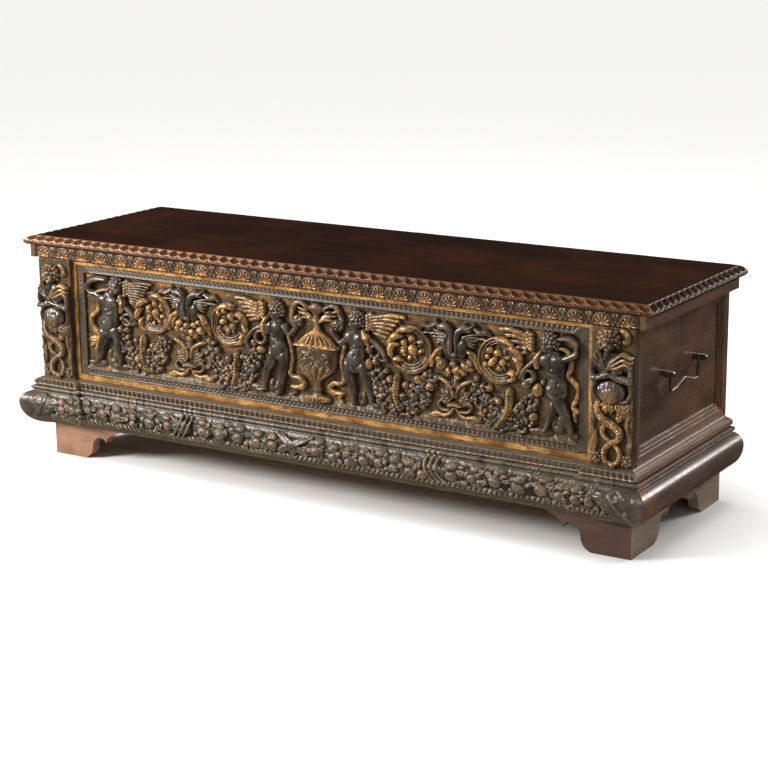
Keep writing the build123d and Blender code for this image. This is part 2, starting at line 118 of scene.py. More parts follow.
def closedRun(name, grid, look, values):
    # a profile carried along a path: grid[row, column] is row by row along the profile, the last row is
    # closed back onto the first, and the two open ends get one flat face each
    rows, columns = grid.shape[:2]
    index = np.arange(rows * columns).reshape(rows, columns)
    skin = np.stack([index[:-1, :-1], index[1:, :-1], index[1:, 1:], index[:-1, 1:]], -1).reshape(-1, 4)
    back = np.stack([index[-1, :-1], index[0, :-1], index[0, 1:], index[-1, 1:]], -1)
    ends = np.stack([index[:, 0][::-1], index[:, -1]])
    meshPiece(name, grid, [skin, back, ends], look, values)


def padRows(data, above=1, below=1):
    # the first and the last row once more, or as often as asked
    return np.concatenate([data[:1].repeat(above, 0), data, data[-1:].repeat(below, 0)])


def padValues(values, above=1, below=1):
    # the same rows added to each attribute
    return {key: padRows(data, above, below) for key, data in values.items()}


def slabGrid(x, y, z, backY):
    # a height field with a row added above and below at the back
    y = padRows(y)
    y[0] = y[-1] = backY
    return toFrame(padRows(x), y, padRows(z))


def spaced(low, high, step):
    # even places from low to high, about one step apart
    return np.linspace(low, high, int(round((high - low) / step)) + 1)


def blur(values, reach):
    # mean over a square of 2 * reach + 1 cells, from running sums
    if reach < 1:
        return values
    out = values
    for axis in (0, 1):
        padding = [(0, 0), (0, 0)]
        padding[axis] = (reach + 1, reach)
        sums = np.cumsum(np.pad(out, padding, mode="edge"), axis=axis)
        size = 2 * reach + 1
        out = (np.take(sums, range(size, sums.shape[axis]), axis) -
               np.take(sums, range(0, sums.shape[axis] - size), axis)) / size
    return out


def smoothPath(points, steps):
    # Catmull-Rom curve through the points
    p = np.array(points, float)
    if len(p) < 3:
        return p
    p = np.concatenate([[2 * p[0] - p[1]], p, [2 * p[-1] - p[-2]]])
    t = np.linspace(0, 1, steps, endpoint=False)[:, None]
    out = []
    for a, b, c, d in zip(p[:-3], p[1:-2], p[2:-1], p[3:]):
        out.append(0.5 * (2 * b + (c - a) * t + (2 * a - 5 * b + 4 * c - d) * t ** 2 +
                          (3 * b - a - 3 * c + d) * t ** 3))
    return np.concatenate(out + [p[-2:-1]])


class Carving:
    # a height field over x and z, with how gilt and how polished each spot is; shapes are pressed in one by
    # one, and where two meet the higher one wins with a soft fillet between
    falloff = 6.0  # how steeply a shape drops away past its outline

    def __init__(self, x, z, step):
        self.x, self.z, self.step = x, z, step
        self.X, self.Z = np.meshgrid(x, z)
        self.h, self.gild, self.polish = [np.zeros_like(self.X) for _ in range(3)]
        self.shift = (0.0, 0.0)

    def window(self, x0, x1, z0, z1):
        # the rows and columns between two corners
        dx, dz = self.shift
        cols = slice(*np.searchsorted(self.x, (x0 + dx, x1 + dx)))
        rows = slice(*np.searchsorted(self.z, (z0 + dz, z1 + dz)))
        return rows, cols

    def around(self, cx, cz, reach, turn):
        # the window round a spot, and each cell's place along and across the turned direction
        w = self.window(cx - reach, cx + reach, cz - reach, cz + reach)
        u = self.X[w] - cx - self.shift[0]
        v = self.Z[w] - cz - self.shift[1]
        c, s = math.cos(math.radians(turn)), math.sin(math.radians(turn))
        return w, c * u + s * v, c * v - s * u

    def press(self, w, height, gild, polish, soft):
        # the soft maximum of the old height and the new one: soft * share * (1 - share) fills the corner
        share = np.clip(0.5 + 0.5 * (height - self.h[w]) / soft, 0, 1)
        for field, value in ((self.h, height), (self.gild, gild), (self.polish, polish)):
            field[w] = field[w] * (1 - share) + value * share
        self.h[w] += soft * share * (1 - share)

    def dome(self, cx, cz, rx, rz, rise, base=0.0, turn=0.0, gild=0.0, polish=0.0, soft=0.8, power=0.5,
             ribs=0, ribDepth=0.0):
        # rise * (1 - d^2)^power over an ellipse, d = 1 on its edge, with ribs running from end to end
        w, u, v = self.around(cx, cz, max(rx, rz) * 1.3, turn)
        u, v = u / rx, v / rz
        d2 = u * u + v * v
        height = base + rise * np.maximum(1 - d2, 0) ** power
        height = height - self.falloff * np.maximum(np.sqrt(d2) - 1, 0) * min(rx, rz)
        if ribs:
            height = height - ribDepth * (0.5 + 0.5 * np.cos(2 * np.pi * ribs * u)) * (d2 < 1)
        self.press(w, height, gild, polish, soft)

    def near(self, points, radii, rises, steps):
        # for each spot round a smooth curve: its distance over the half width, side, way along, rise and half
        # width
        path = smoothPath(points, steps)
        t = np.linspace(0, 1, len(path))
        width = np.interp(t, np.linspace(0, 1, np.size(radii)), np.atleast_1d(radii))
        top = np.interp(t, np.linspace(0, 1, np.size(rises)), np.atleast_1d(rises))
        reach = width.max() * 1.3 + 1.0
        w = self.window(path[:, 0].min() - reach, path[:, 0].max() + reach,
                        path[:, 1].min() - reach, path[:, 1].max() + reach)
        X = self.X[w] - self.shift[0]
        Z = self.Z[w] - self.shift[1]
        best = np.full(X.shape, 1e9)
        side = np.zeros_like(X)
        along = np.zeros_like(X)
        lift = np.zeros_like(X)
        half = np.ones_like(X)
        done = 0.0
        for i in range(len(path) - 1):
            ax, az = path[i]
            dx, dz = path[i + 1] - path[i]
            length = math.hypot(dx, dz) + 1e-9
            u = np.clip(((X - ax) * dx + (Z - az) * dz) / length ** 2, 0, 1)
            r = width[i] + (width[i + 1] - width[i]) * u
            ox, oz = X - ax - u * dx, Z - az - u * dz
            d = np.sqrt(ox * ox + oz * oz) / r
            closer = d < best
            best = np.where(closer, d, best)
            side = np.where(closer, (ox * dz - oz * dx) / length / r, side)
            along = np.where(closer, done + u * length, along)
            lift = np.where(closer, top[i] + (top[i + 1] - top[i]) * u, lift)
            half = np.where(closer, r, half)
            done += length
        return w, best, side, along, lift, half

    def strand(self, points, radii, rises, base=0.0, gild=0.0, polish=0.0, soft=0.8, power=0.5, ribs=0,
               ribDepth=0.0, cross=0.0, crossDepth=0.0, steps=5):
        # a band along a smooth curve: rise * (1 - d^2)^power, d = distance / half width, with ribs that run
        # lengthwise and ridges that run across
        w, best, side, along, lift, half = self.near(points, radii, rises, steps)
        height = base + lift * np.maximum(1 - best ** 2, 0) ** power
        height = height - self.falloff * np.maximum(best - 1, 0) * half
        if ribs:
            height = height - ribDepth * (0.5 + 0.5 * np.cos(np.pi * (ribs * side + (ribs + 1)))) * (best < 1)
        if cross:
            height = height - crossDepth * (0.5 + 0.5 * np.cos(2 * np.pi * along / cross)) * (best < 1)
        self.press(w, height, gild, polish, soft)

    def groove(self, points, half, depth, steps=5):
        # a cut along a smooth curve, depth * exp(-d^2)
        w, best, *_ = self.near(points, half * 2.5, 1.0, steps)
        self.h[w] -= depth * np.exp(-(best * 2.5) ** 2)

    def berry(self, cx, cz, rx, rz, base=6.0, gild=0.0, polish=0.3, turn=0.0, pit=1.4, rise=0.0):
        # a ball standing in its own cut, with a pit at the tip
        w, u, v = self.around(cx, cz, max(rx, rz) * 1.6, turn)
        d = np.hypot(u / rx, v / rz)
        size = min(rx, rz)
        self.h[w] -= np.minimum(3.2, 0.6 * self.h[w]) * np.exp(-((d - 1.15) / 0.18) ** 2)
        rise = rise or 1.05 * size
        height = base + rise * np.sqrt(np.maximum(1 - d * d, 0)) - self.falloff * np.maximum(d - 1, 0) * size
        height = height - pit * np.exp(-(d * size / 1.3) ** 2)
        self.press(w, height, gild, polish, 0.3)

    def leaf(self, x, z, length, half, turn, rise, base=0.0, gild=0.0, polish=0.0, soft=0.6, vein=1.2,
             lobes=0, rim=0.0):
        # a pointed leaf lying from (x, z): half width follows sin(pi u^0.7), with a vein and a raised rim
        w, u, v = self.around(x, z, length + half, turn)
        u = u / length
        inside = np.clip(u, 0.0, 1.0)
        edge = half * np.sin(np.pi * inside ** 0.7) ** 0.8 + 0.3
        if lobes:
            edge = edge * (0.86 + 0.14 * np.cos(2 * np.pi * lobes * inside))
        d = np.abs(v) / edge
        height = base + rise * np.sqrt(np.maximum(1 - d * d, 0)) * (0.55 + 0.45 * np.sin(np.pi * inside))
        height = height - vein * np.exp(-(v / 1.3) ** 2) + rim * np.exp(-((d - 0.88) / 0.16) ** 2)
        if lobes:
            height = height - 0.8 * vein * (0.5 + 0.5 * np.cos(2 * np.pi * (lobes * inside - 1.2 * d)))
        outside = np.maximum(d - 1, 0) * half + np.maximum(np.abs(u - 0.5) - 0.5, 0) * length
        self.press(w, height - self.falloff * outside, gild, polish, soft)

    def finish(self, blurCells=1, gain=1.0):
        # proud and hollow: how far the surface stands above or below its own mean nearby (2.5 mm) and further
        # off (7 mm), each as a share of a full step
        self.h = blur(self.h, blurCells)
        near, far = [(self.h - blur(self.h, int(round(reach / self.step)))) * gain for reach in (2.5, 7.0)]
        proud = np.clip(near / 1.6, 0, 1) * 0.6 + np.clip(far / 6.0, 0, 1) * 0.5
        hollow = np.clip(-near / 1.6, 0, 1) * 0.6 + np.clip(-far / 5.0, 0, 1) * 0.6
        return dict(gild=blur(self.gild, 1), polish=blur(self.polish, 1),
                    proud=np.clip(proud, 0, 1), hollow=np.clip(hollow, 0, 1))


# materials

def put(tree, kind, inputs=None, output=0, **settings):
    # a new shader node with its settings and inputs, values or links; gives back one of its outputs
    node = tree.nodes.new("ShaderNode" + kind)
    for key, value in settings.items():
        setattr(node, key, value)
    for key, value in (inputs or {}).items():
        if isinstance(value, bpy.types.NodeSocket):
            tree.links.new(value, node.inputs[key])
        else:
            node.inputs[key].default_value = value
    return node.outputs[output] if len(node.outputs) else None


def mixColor(tree, factor, a, b):
    # a, b or between: either may be a plain colour
    a, b = [side if isinstance(side, bpy.types.NodeSocket) else (*side, 1.0) for side in (a, b)]
    return put(tree, "Mix", {0: factor, 6: a, 7: b}, 2, data_type="RGBA")


def math2(tree, operation, a, b=0.0, clamp=False):
    # one sum on one or two values
    return put(tree, "Math", {0: a, 1: b}, operation=operation, use_clamp=clamp)


def times(tree, a, b, clamp=False):
    # the product of two values
    return math2(tree, "MULTIPLY", a, b, clamp)


def total(tree, first, *others):
    # the first pattern plus each of the others times its share
    for value, share in others:
        first = math2(tree, "ADD", first, times(tree, value, share))
    return first


def ramp(tree, value, low, high, toLow=0.0, toHigh=1.0):
    # toLow up to low, toHigh from high on, and even between
    return put(tree, "MapRange", {"Value": value, "From Min": low, "From Max": high, "To Min": toLow,
                                  "To Max": toHigh})


def layer(tree, base, tint, value, low, high, share=1.0):
    # lays a colour over the base where the value rises from low to high
    return mixColor(tree, ramp(tree, value, low, high, 0.0, share), base, tint)


def noise(tree, vector, scale, detail, rough, distort=0.0):
    # soft random blotches, about 0.5 on average
    return put(tree, "TexNoise", {"Vector": vector, "Scale": scale, "Detail": detail, "Roughness": rough,
                                  "Distortion": distort})


def stretched(tree, along, lengthwise, offset=(0.0, 0.0, 0.0)):
    # Object coordinates squeezed so that a pattern runs lengthwise along one axis
    scale = [1.0] * 3
    scale["XYZ".index(along)] = lengthwise
    place = put(tree, "TexCoord", output=3)
    return put(tree, "Mapping", {"Vector": place, "Location": offset, "Scale": scale})


def newTree(name):
    # a material without any nodes yet
    material = bpy.data.materials.new(name)
    material.use_nodes = True
    material.node_tree.nodes.clear()
    return material, material.node_tree


def shader(tree, baseColor, roughness, bump, look):
    # the surface, with what the look says and plain values for what it leaves out
    normal = put(tree, "Bump", {"Height": bump, "Strength": look.get("bumpStrength", 0.3),
                                "Distance": look.get("bumpDistance", 0.0006)})
    inputs = {"Base Color": baseColor, "Roughness": roughness, "Normal": normal,
              "Specular IOR Level": look["specular"], "Coat Weight": look.get("coat", 0.0),
              "Coat Roughness": look.get("coatRoughness", 0.2), "Metallic": look.get("metallic", 0.0)}
    put(tree, "OutputMaterial", {"Surface": put(tree, "BsdfPrincipled", inputs)})


def plainWood(name, look):
    # sawn and planed walnut: broad bands and fine fibres along the grain, pores as short dark dashes
    look = dict(woodLook, **look)
    material, tree = newTree(name)

    def grained(lengthwise, *pattern):
        # a pattern drawn out along the grain
        return noise(tree, stretched(tree, look["grain"], lengthwise, look["offset"]), *pattern)

    broad = grained(0.10, look["bands"], 3.0, 0.5, 0.8)
    fibre = grained(0.035, look["fibres"], 5.0, 0.6)
    pores = grained(0.05, look["pores"], 2.0, 0.5)
    place = put(tree, "TexCoord", output=3)
    patches = noise(tree, place, look["patches"], 3.0, 0.6)
    base = layer(tree, look["dark"], look["light"], broad, 0.35, 0.68)
    base = layer(tree, base, look["fibre"], fibre, 0.38, 0.62, 0.75)
    base = layer(tree, base, look["pore"], pores, 0.60, 0.72, 0.8)
    base = layer(tree, base, look["patch"], patches, 0.45, 0.70, look["patchShare"])
    smear = noise(tree, place, look["smears"], 4.0, 0.65)
    rough = ramp(tree, total(tree, smear, (pores, 0.3)), 0.45, 0.9, *look["roughness"])
    bump = total(tree, times(tree, fibre, 0.6), (pores, -0.8), (smear, 0.5))
    shader(tree, base, rough, bump, look)
    return material


def carvedWood(name, look):
    # carved walnut: gilding, polish, wear, grime and painted shade follow the carving's own attributes
    material, tree = newTree(name)
    gild, polish, proud, hollow = [put(tree, "Attribute", output=2, attribute_name=key)
                                   for key in ("gild", "polish", "proud", "hollow")]
    place = put(tree, "TexCoord", output=3)
    fibre = noise(tree, stretched(tree, "X", 0.12), 300.0, 4.0, 0.6)
    cloud = noise(tree, place, 22.0, 5.0, 0.65)
    speck = noise(tree, place, 170.0, 4.0, 0.7)
    fleck = noise(tree, place, 105.0, 3.0, 0.6)
    wood = layer(tree, look["dark"], look["light"], fibre, 0.35, 0.65)
    wood = layer(tree, wood, look["warm"], cloud, 0.5, 0.68, 0.8)
    figure = layer(tree, look["figureDark"], look["figureLight"], cloud, 0.42, 0.62)
    base = mixColor(tree, polish, wood, figure)
    # the raised edges wear to bare wood, and the same pale colour is partly a painted highlight
    patchy = math2(tree, "ADD", speck, cloud)
    wearAndHighlight = times(tree, ramp(tree, proud, 0.25, 0.95), ramp(tree, patchy, 0.85, 1.15, 0.15, look["wear"]))
    base = mixColor(tree, wearAndHighlight, base, look["wearAndHighlight"])
    # leaf holds in patches and is rubbed through in flecks; it is taken out of the hollows, which paints
    # shade there, and pale flecks on raised spots are a painted highlight
    leaf = times(tree, gild, ramp(tree, patchy, 0.72, 1.02, 0.15, 1.0), True)
    leaf = times(tree, leaf, ramp(tree, hollow, 0.15, 0.8, 1.0, 0.25), True)
    leaf = times(tree, leaf, ramp(tree, fleck, 0.40, 0.54, look["rubbed"], 1.0), True)
    gold = layer(tree, look["giltDark"], look["gilt"], cloud, 0.40, 0.62)
    bright = times(tree, ramp(tree, fleck, 0.46, 0.62), ramp(tree, proud, 0.1, 0.6))
    base = mixColor(tree, leaf, base, mixColor(tree, bright, gold, look["giltPale"]))
    # painted shade: the hollows darken towards the grime-and-shade colour
    base = layer(tree, base, look["grimeAndShade"], hollow, 0.1, 0.85, look["grimeAndShadeShare"])
    rough = ramp(tree, total(tree, cloud, (hollow, 0.5)), 0.35, 0.9, *look["roughness"])
    rough = total(tree, rough, (polish, look["softened"]))
    bump = total(tree, times(tree, fibre, 0.4), (speck, 0.8))
    look = dict(look, metallic=times(tree, leaf, look["metal"]),
                specular=times(tree, ramp(tree, proud, 0.0, 0.7, 0.38, 1.0), look["specular"]),
                coat=times(tree, ramp(tree, polish, 0.0, 1.0, 0.08, 1.0), look["coat"]))
    shader(tree, base, rough, bump, look)
    return material


def giltWood(name, look):
    # burnished leaf over bole, rubbed through in flecks and darkened with old wax; the colour turns towards
    # the bole, darker, where the distance from the strip's middle line passes half its width
    material, tree = newTree(name)
    place = put(tree, "TexCoord", output=3)
    rub = noise(tree, stretched(tree, look["grain"], 0.25), 120.0, 6.0, 0.7)
    cloud = noise(tree, place, 14.0, 4.0, 0.6)
    speck = noise(tree, place, 320.0, 3.0, 0.6)
    base = layer(tree, look["giltDark"], look["gilt"], cloud, 0.38, 0.62)
    base = layer(tree, base, look["bole"], total(tree, rub, (cloud, 0.6)), 0.80, 0.97, 0.85)
    base = layer(tree, base, look["grimeAndShade"], speck, 0.60, 0.75, 0.7)
    across = put(tree, "SeparateXYZ", {0: place}, 0 if look["grain"] == "Z" else 2)
    off = math2(tree, "ABSOLUTE", math2(tree, "SUBTRACT", math2(tree, "ABSOLUTE", across), look["middle"]))
    off = total(tree, off, (math2(tree, "SUBTRACT", rub, 0.5), 0.6 * look["half"]))
    base = layer(tree, base, look["bole"], off, 0.5 * look["half"], look["half"], 0.85)
    bump = total(tree, times(tree, rub, 0.5), (speck, 0.5))
    shader(tree, base, ramp(tree, cloud, 0.3, 0.7, 0.30, 0.52), bump, look)
    return material


def forgedIron(name, look):
    # dark scale and hammered flats, with rusty patches
    material, tree = newTree(name)
    place = put(tree, "TexCoord", output=3)
    hammer = put(tree, "TexVoronoi", {"Vector": place, "Scale": 180.0}, 0, feature="SMOOTH_F1")
    scale = noise(tree, place, 260.0, 5.0, 0.65)
    cloud = noise(tree, place, 40.0, 3.0, 0.6)
    base = layer(tree, look["dark"], look["light"], scale, 0.40, 0.62)
    base = layer(tree, base, look["rust"], cloud, 0.52, 0.68, 0.6)
    bump = total(tree, times(tree, hammer, 1.2), (scale, 0.5))
    shader(tree, base, ramp(tree, scale, 0.35, 0.65, 0.28, 0.55), bump, look)
    return material


# what plain woods share: the grain's axis and place, and the scales of fibres, pores, patches and smears
woodLook = dict(grain="X", offset=(0.0, 0.0, 0.0), fibres=260.0, pores=620.0, patches=5.0, smears=38.0)
topLook = dict(dark=(0.0085, 0.0027, 0.0009), light=(0.023, 0.0070, 0.0022), fibre=(0.012, 0.0038, 0.0014),
               pore=(0.004, 0.002, 0.001), patch=(0.040, 0.0115, 0.0037), patchShare=0.5, bands=14.0,
               fibres=240.0, roughness=(0.26, 0.46), bumpStrength=0.25, specular=0.10)
sideLook = dict(dark=(0.040, 0.022, 0.012), light=(0.118, 0.066, 0.036), fibre=(0.070, 0.039, 0.022),
                pore=(0.020, 0.011, 0.006), patch=(0.165, 0.060, 0.027), patchShare=0.85, bands=14.0,
                roughness=(0.24, 0.46), coat=0.2, coatRoughness=0.22, specular=0.45)
footLook = dict(dark=(0.115, 0.062, 0.038), light=(0.34, 0.182, 0.112), fibre=(0.18, 0.098, 0.060),
                pore=(0.04, 0.021, 0.013), patch=(0.42, 0.215, 0.122), patchShare=0.7, bands=18.0,
                roughness=(0.4, 0.6), specular=0.4, bumpStrength=0.4)
# a darker copy of the foot walnut, painted shade for the foot faces that stand in shade
footShadedLook = dict(footLook, dark=(0.050, 0.025, 0.017), light=(0.11, 0.056, 0.038),
                    fibre=(0.07, 0.036, 0.024), patch=(0.15, 0.062, 0.036))
innerLook = dict(dark=(0.17, 0.105, 0.058), light=(0.28, 0.18, 0.10), fibre=(0.20, 0.125, 0.07),
                 pore=(0.10, 0.06, 0.035), patch=(0.15, 0.095, 0.055), patchShare=0.6, bands=12.0,
                 roughness=(0.6, 0.8), specular=0.3, bumpStrength=0.5)
carvedLook = dict(dark=(0.045, 0.026, 0.0105), light=(0.092, 0.055, 0.022), warm=(0.125, 0.064, 0.018),
                  figureDark=(0.026, 0.020, 0.0155), figureLight=(0.056, 0.043, 0.033),
                  wearAndHighlight=(0.21, 0.132, 0.082), gilt=(0.46, 0.225, 0.052), giltDark=(0.17, 0.078, 0.022),
                  giltPale=(0.62, 0.38, 0.16), grimeAndShade=(0.020, 0.0138, 0.0078), specular=0.55,
                  roughness=(0.30, 0.54), coat=0.6, coatRoughness=0.32, bumpStrength=0.35, metal=0.4,
                  wear=0.8, rubbed=0.35, softened=-0.05, grimeAndShadeShare=0.9)
# on the gadroon lips the worn, gilt and figure colours of the edge looks are the pale painted highlight of
# the crescents
edgeLook = dict(carvedLook, dark=(0.070, 0.025, 0.007), light=(0.165, 0.062, 0.018),
                warm=(0.22, 0.080, 0.018), wearAndHighlight=(0.66, 0.44, 0.31), grimeAndShade=(0.034, 0.013, 0.0045), wear=1.0,
                specular=0.40, metal=0.0, rubbed=0.75, gilt=(0.74, 0.54, 0.43), giltDark=(0.50, 0.32, 0.22),
                giltPale=(0.86, 0.70, 0.60), figureDark=(0.16, 0.075, 0.035), figureLight=(0.32, 0.18, 0.11))
baseLook = dict(carvedLook, dark=(0.054, 0.043, 0.028), light=(0.108, 0.086, 0.056),
                warm=(0.122, 0.072, 0.038), wearAndHighlight=(0.29, 0.19, 0.120), gilt=(0.25, 0.102, 0.052),
                giltDark=(0.125, 0.060, 0.034), giltPale=(0.36, 0.17, 0.10), grimeAndShade=(0.010, 0.0075, 0.0045),
                wear=1.0, roughness=(0.34, 0.56), coat=0.4, metal=0.0)
# the side gadroons' crescent colours are a whiter painted highlight
edgeSideLook = dict(edgeLook, dark=(0.034, 0.015, 0.008), light=(0.085, 0.038, 0.020),
                    warm=(0.11, 0.045, 0.020), wearAndHighlight=(0.72, 0.60, 0.52), gilt=(0.82, 0.72, 0.64),
                    giltDark=(0.55, 0.44, 0.36), giltPale=(0.92, 0.86, 0.80), grimeAndShade=(0.008, 0.005, 0.003),
                    coat=1.0, coatRoughness=0.16)
friezeLook = dict(carvedLook, dark=(0.058, 0.033, 0.016), light=(0.12, 0.068, 0.032),
                  gilt=(0.47, 0.205, 0.055), giltDark=(0.14, 0.054, 0.016), giltPale=(0.66, 0.38, 0.16),
                  rubbed=0.5, wear=1.0)
stripLook = dict(carvedLook, dark=(0.044, 0.034, 0.023), light=(0.082, 0.064, 0.043))
# capLook: its worn colour lights the tongues' crescents and the lower fillet as a painted highlight
capLook = dict(edgeLook, dark=(0.062, 0.051, 0.034), light=(0.125, 0.104, 0.072), warm=(0.135, 0.084, 0.050),
               wearAndHighlight=(0.54, 0.36, 0.255), roughness=(0.36, 0.58), coat=0.3)
giltLook = dict(grain="X", gilt=(0.60, 0.335, 0.105), giltDark=(0.19, 0.082, 0.020),
                bole=(0.080, 0.033, 0.012), grimeAndShade=(0.05, 0.026, 0.011), metallic=0.4, specular=0.25,
                bumpStrength=0.5)
ironLook = dict(dark=(0.075, 0.068, 0.055), light=(0.27, 0.25, 0.20), rust=(0.13, 0.080, 0.045),
                    metallic=0.85, specular=0.5, bumpStrength=0.5, bumpDistance=0.0008)

topWood = plainWood("topWalnut", topLook)
sideWood = plainWood("sideWalnut", dict(sideLook, grain="Y"))
stileWood = plainWood("stileWalnut", dict(sideLook, grain="Z", offset=(0.3, 0.1, 0.2)))
baseSideWood = plainWood("baseSideWalnut", dict(
    sideLook, grain="Y", offset=(0.7, 0.4, 0.1), dark=(0.080, 0.045, 0.028), light=(0.160, 0.088, 0.055),
    patch=(0.20, 0.088, 0.048)))
footRedWood = plainWood("footRedWalnut", footLook)
footShadedWood = plainWood("footShadedWalnut", footShadedLook)
# a lighter copy of the foot walnut, painted light on the feet's sides
footLitSideWood = plainWood("footLitSideWalnut", dict(
    footLook, grain="Y", dark=(0.165, 0.115, 0.085), light=(0.39, 0.285, 0.215), fibre=(0.25, 0.178, 0.132),
    patch=(0.40, 0.24, 0.155)))
railWood = plainWood("railWalnut", dict(
    sideLook, grain="Y", offset=(0.2, 0.6, 0.4), dark=(0.095, 0.050, 0.028), light=(0.20, 0.112, 0.064),
    fibre=(0.13, 0.072, 0.042), patch=(0.21, 0.10, 0.055)))
innerWood = plainWood("innerWood", innerLook)
carvedMaterial = carvedWood("carvedWalnut", carvedLook)
edgeMaterial = carvedWood("edgeWalnut", edgeLook)
edgeSideMaterial = carvedWood("edgeSideWalnut", edgeSideLook)
friezeMaterial = carvedWood("friezeWalnut", friezeLook)
stripMaterial = carvedWood("stripWalnut", stripLook)
capMaterial = carvedWood("capWalnut", capLook)
baseMaterial = carvedWood("baseWalnut", baseLook)
giltLower = giltWood("rubbedGildingLower", dict(giltLook, middle=0.208, half=0.008))
giltUpper = giltWood("rubbedGildingUpper", dict(giltLook, middle=0.486, half=0.006))
giltUpright = giltWood("rubbedGildingUpright", dict(giltLook, grain="Z", middle=0.68225, half=0.006))
iron = forgedIron("forgedIron", ironLook)
print("materials made")


# the finish of the nodes that stay as they are, by how their names begin

finishes = (
    (topWood, ("lid_board",)),
    (sideWood, ("lid_frieze_left", "lid_frieze_right", "side_board", "side_rail_top")),
    (railWood, ("side_rail_bottom", "base_cap_left", "base_cap_right")),
    (stileWood, ("side_rail_front", "side_rail_back")),
    (baseSideWood, ("base_torus_left", "base_torus_right")),
    (footRedWood, ("foot_front_left_face",)),
    (footShadedWood, ("foot_front_right_face", "foot_rear_left_back", "foot_rear_right_back")),
    (footLitSideWood, ("foot_front_left_side", "foot_front_right_side", "foot_rear_left_side",
                    "foot_rear_right_side")),
    (innerWood, ("lid_battens", "foot_blocks", "bottom_board", "back_board_lower", "back_board_upper")),
    (giltLower, ("gilt_fillet_bottom",)),
    (giltUpper, ("gilt_fillet_top",)),
    (giltUpright, ("gilt_fillet_left", "gilt_fillet_right")),
    (iron, ("handle_", "hinge_", "back_board_nails")))

for name, piece in nodes.items():
    for material, beginnings in finishes:
        if name.startswith(beginnings):
            piece.data.materials.clear()
            piece.data.materials.append(material)


# carved field of the front

fieldSet = dict(step=0.95, ledgeRise=15.0, ledgeDepth=9.0, shift=(5.0, 2.0), figureShift=(7.0, 3.0),
                patches=4, tooling=0.4, groundGlow=0.12, upperGlow=0.45, groundDarkening=0.25, slim=0.78,
                slimTrunk=0.84, ledgeRough=0.5, ground=30.0, thick=8.0, lap=18.0, rebate=26.0,
                groundRelief=2.5, upperEdge=444.0)


def mottle(shape, seed, reach):
    # a smooth random field with unit spread: noise blurred three times
    values = np.random.default_rng(seed).standard_normal(shape)
    for _ in range(3):
        values = blur(values, reach)
    return values / values.std()


def mirrored(middle, way):
    # points given by their distance from a middle line, on one side of it
    def at(dx, z):
        return middle + way * dx, z

    return at


def putto(c, look):
    # a child in high relief: trunk and limbs as tapering strands, breast and belly as domes, curled hair, and
    # eyes, cheeks, nose, mouth and chin set off towards the side of the gaze
    c.shift = fieldSet["figureShift"]
    for points, radii, rises, base in look["limbs"]:
        c.strand(points, np.array(radii) * fieldSet["slim"], rises, base, 0.0, 1.0, 1.4)
    points, radii = look["trunk"]
    c.strand(points, np.array(radii) * fieldSet["slimTrunk"], (13, 16, 15, 13, 16, 14), 9, 0.0, 1.0, 2.5,
             0.45)
    for cx, cz, rx, rz, rise, turn in look["forms"]:
        c.dome(cx, cz, rx, rz, rise, 20, turn, 0.0, 1.0, 3.5)
    for points, half, depth in look["creases"]:
        c.groove(points, half, depth)
    hx, hz, hr = look["head"]
    way = look["gaze"]
    c.dome(hx, hz, hr * 0.84, hr, 13.0, 11.0, 0, 0.0, 1.0, 1.5)
    rng = np.random.default_rng(look["seed"])
    for reach, count in ((1.02, 14), (0.74, 10), (0.42, 6)):
        for k in range(count):
            angle = 2 * math.pi * (k + 0.5 * (reach < 0.8)) / count
            px, pz = math.cos(angle) * reach, math.sin(angle) * reach
            if px * way > -0.25 and pz < 0.38 or pz < -0.55:
                continue
            c.berry(hx + px * hr * 0.92, hz + pz * hr, 4.0 + rng.random(), 3.4 + rng.random(),
                    21.0 - 9.0 * reach ** 2, 0.0, 0.6, rng.uniform(0, 90), 1.2)
    fx, fz = hx + way * hr * 0.30, hz - hr * 0.12
    c.dome(fx - way * 1.5, fz + 5.0, 7.0, 4.5, 3.0, 21.5, 0, 0.0, 1.0, 2.0)
    for dx, size in ((-5.6, 4.2), (4.6, 3.4)):
        c.groove([(fx + way * (dx - 2.0), fz + 0.6), (fx + way * (dx + 2.0), fz + 0.4)], 1.5, 2.6)
        c.dome(fx + way * dx, fz - 5.5, size, size, 3.0, 20.5, 0, 0.0, 1.0, 1.5)
    c.strand([(fx - way * 0.4, fz + 3.0), (fx + way * 0.8, fz - 3.6)], (1.3, 2.1), (2.4, 3.6), 22.0, 0.0, 1.0,
             0.8)
    c.dome(fx + way * 0.2, fz - 8.6, 2.8, 1.5, 1.8, 21.5, 0, 0.0, 1.0, 0.6)
    c.dome(fx - way * 0.4, fz - 12.6, 3.8, 3.0, 2.8, 19.5, 0, 0.0, 1.0, 1.0)


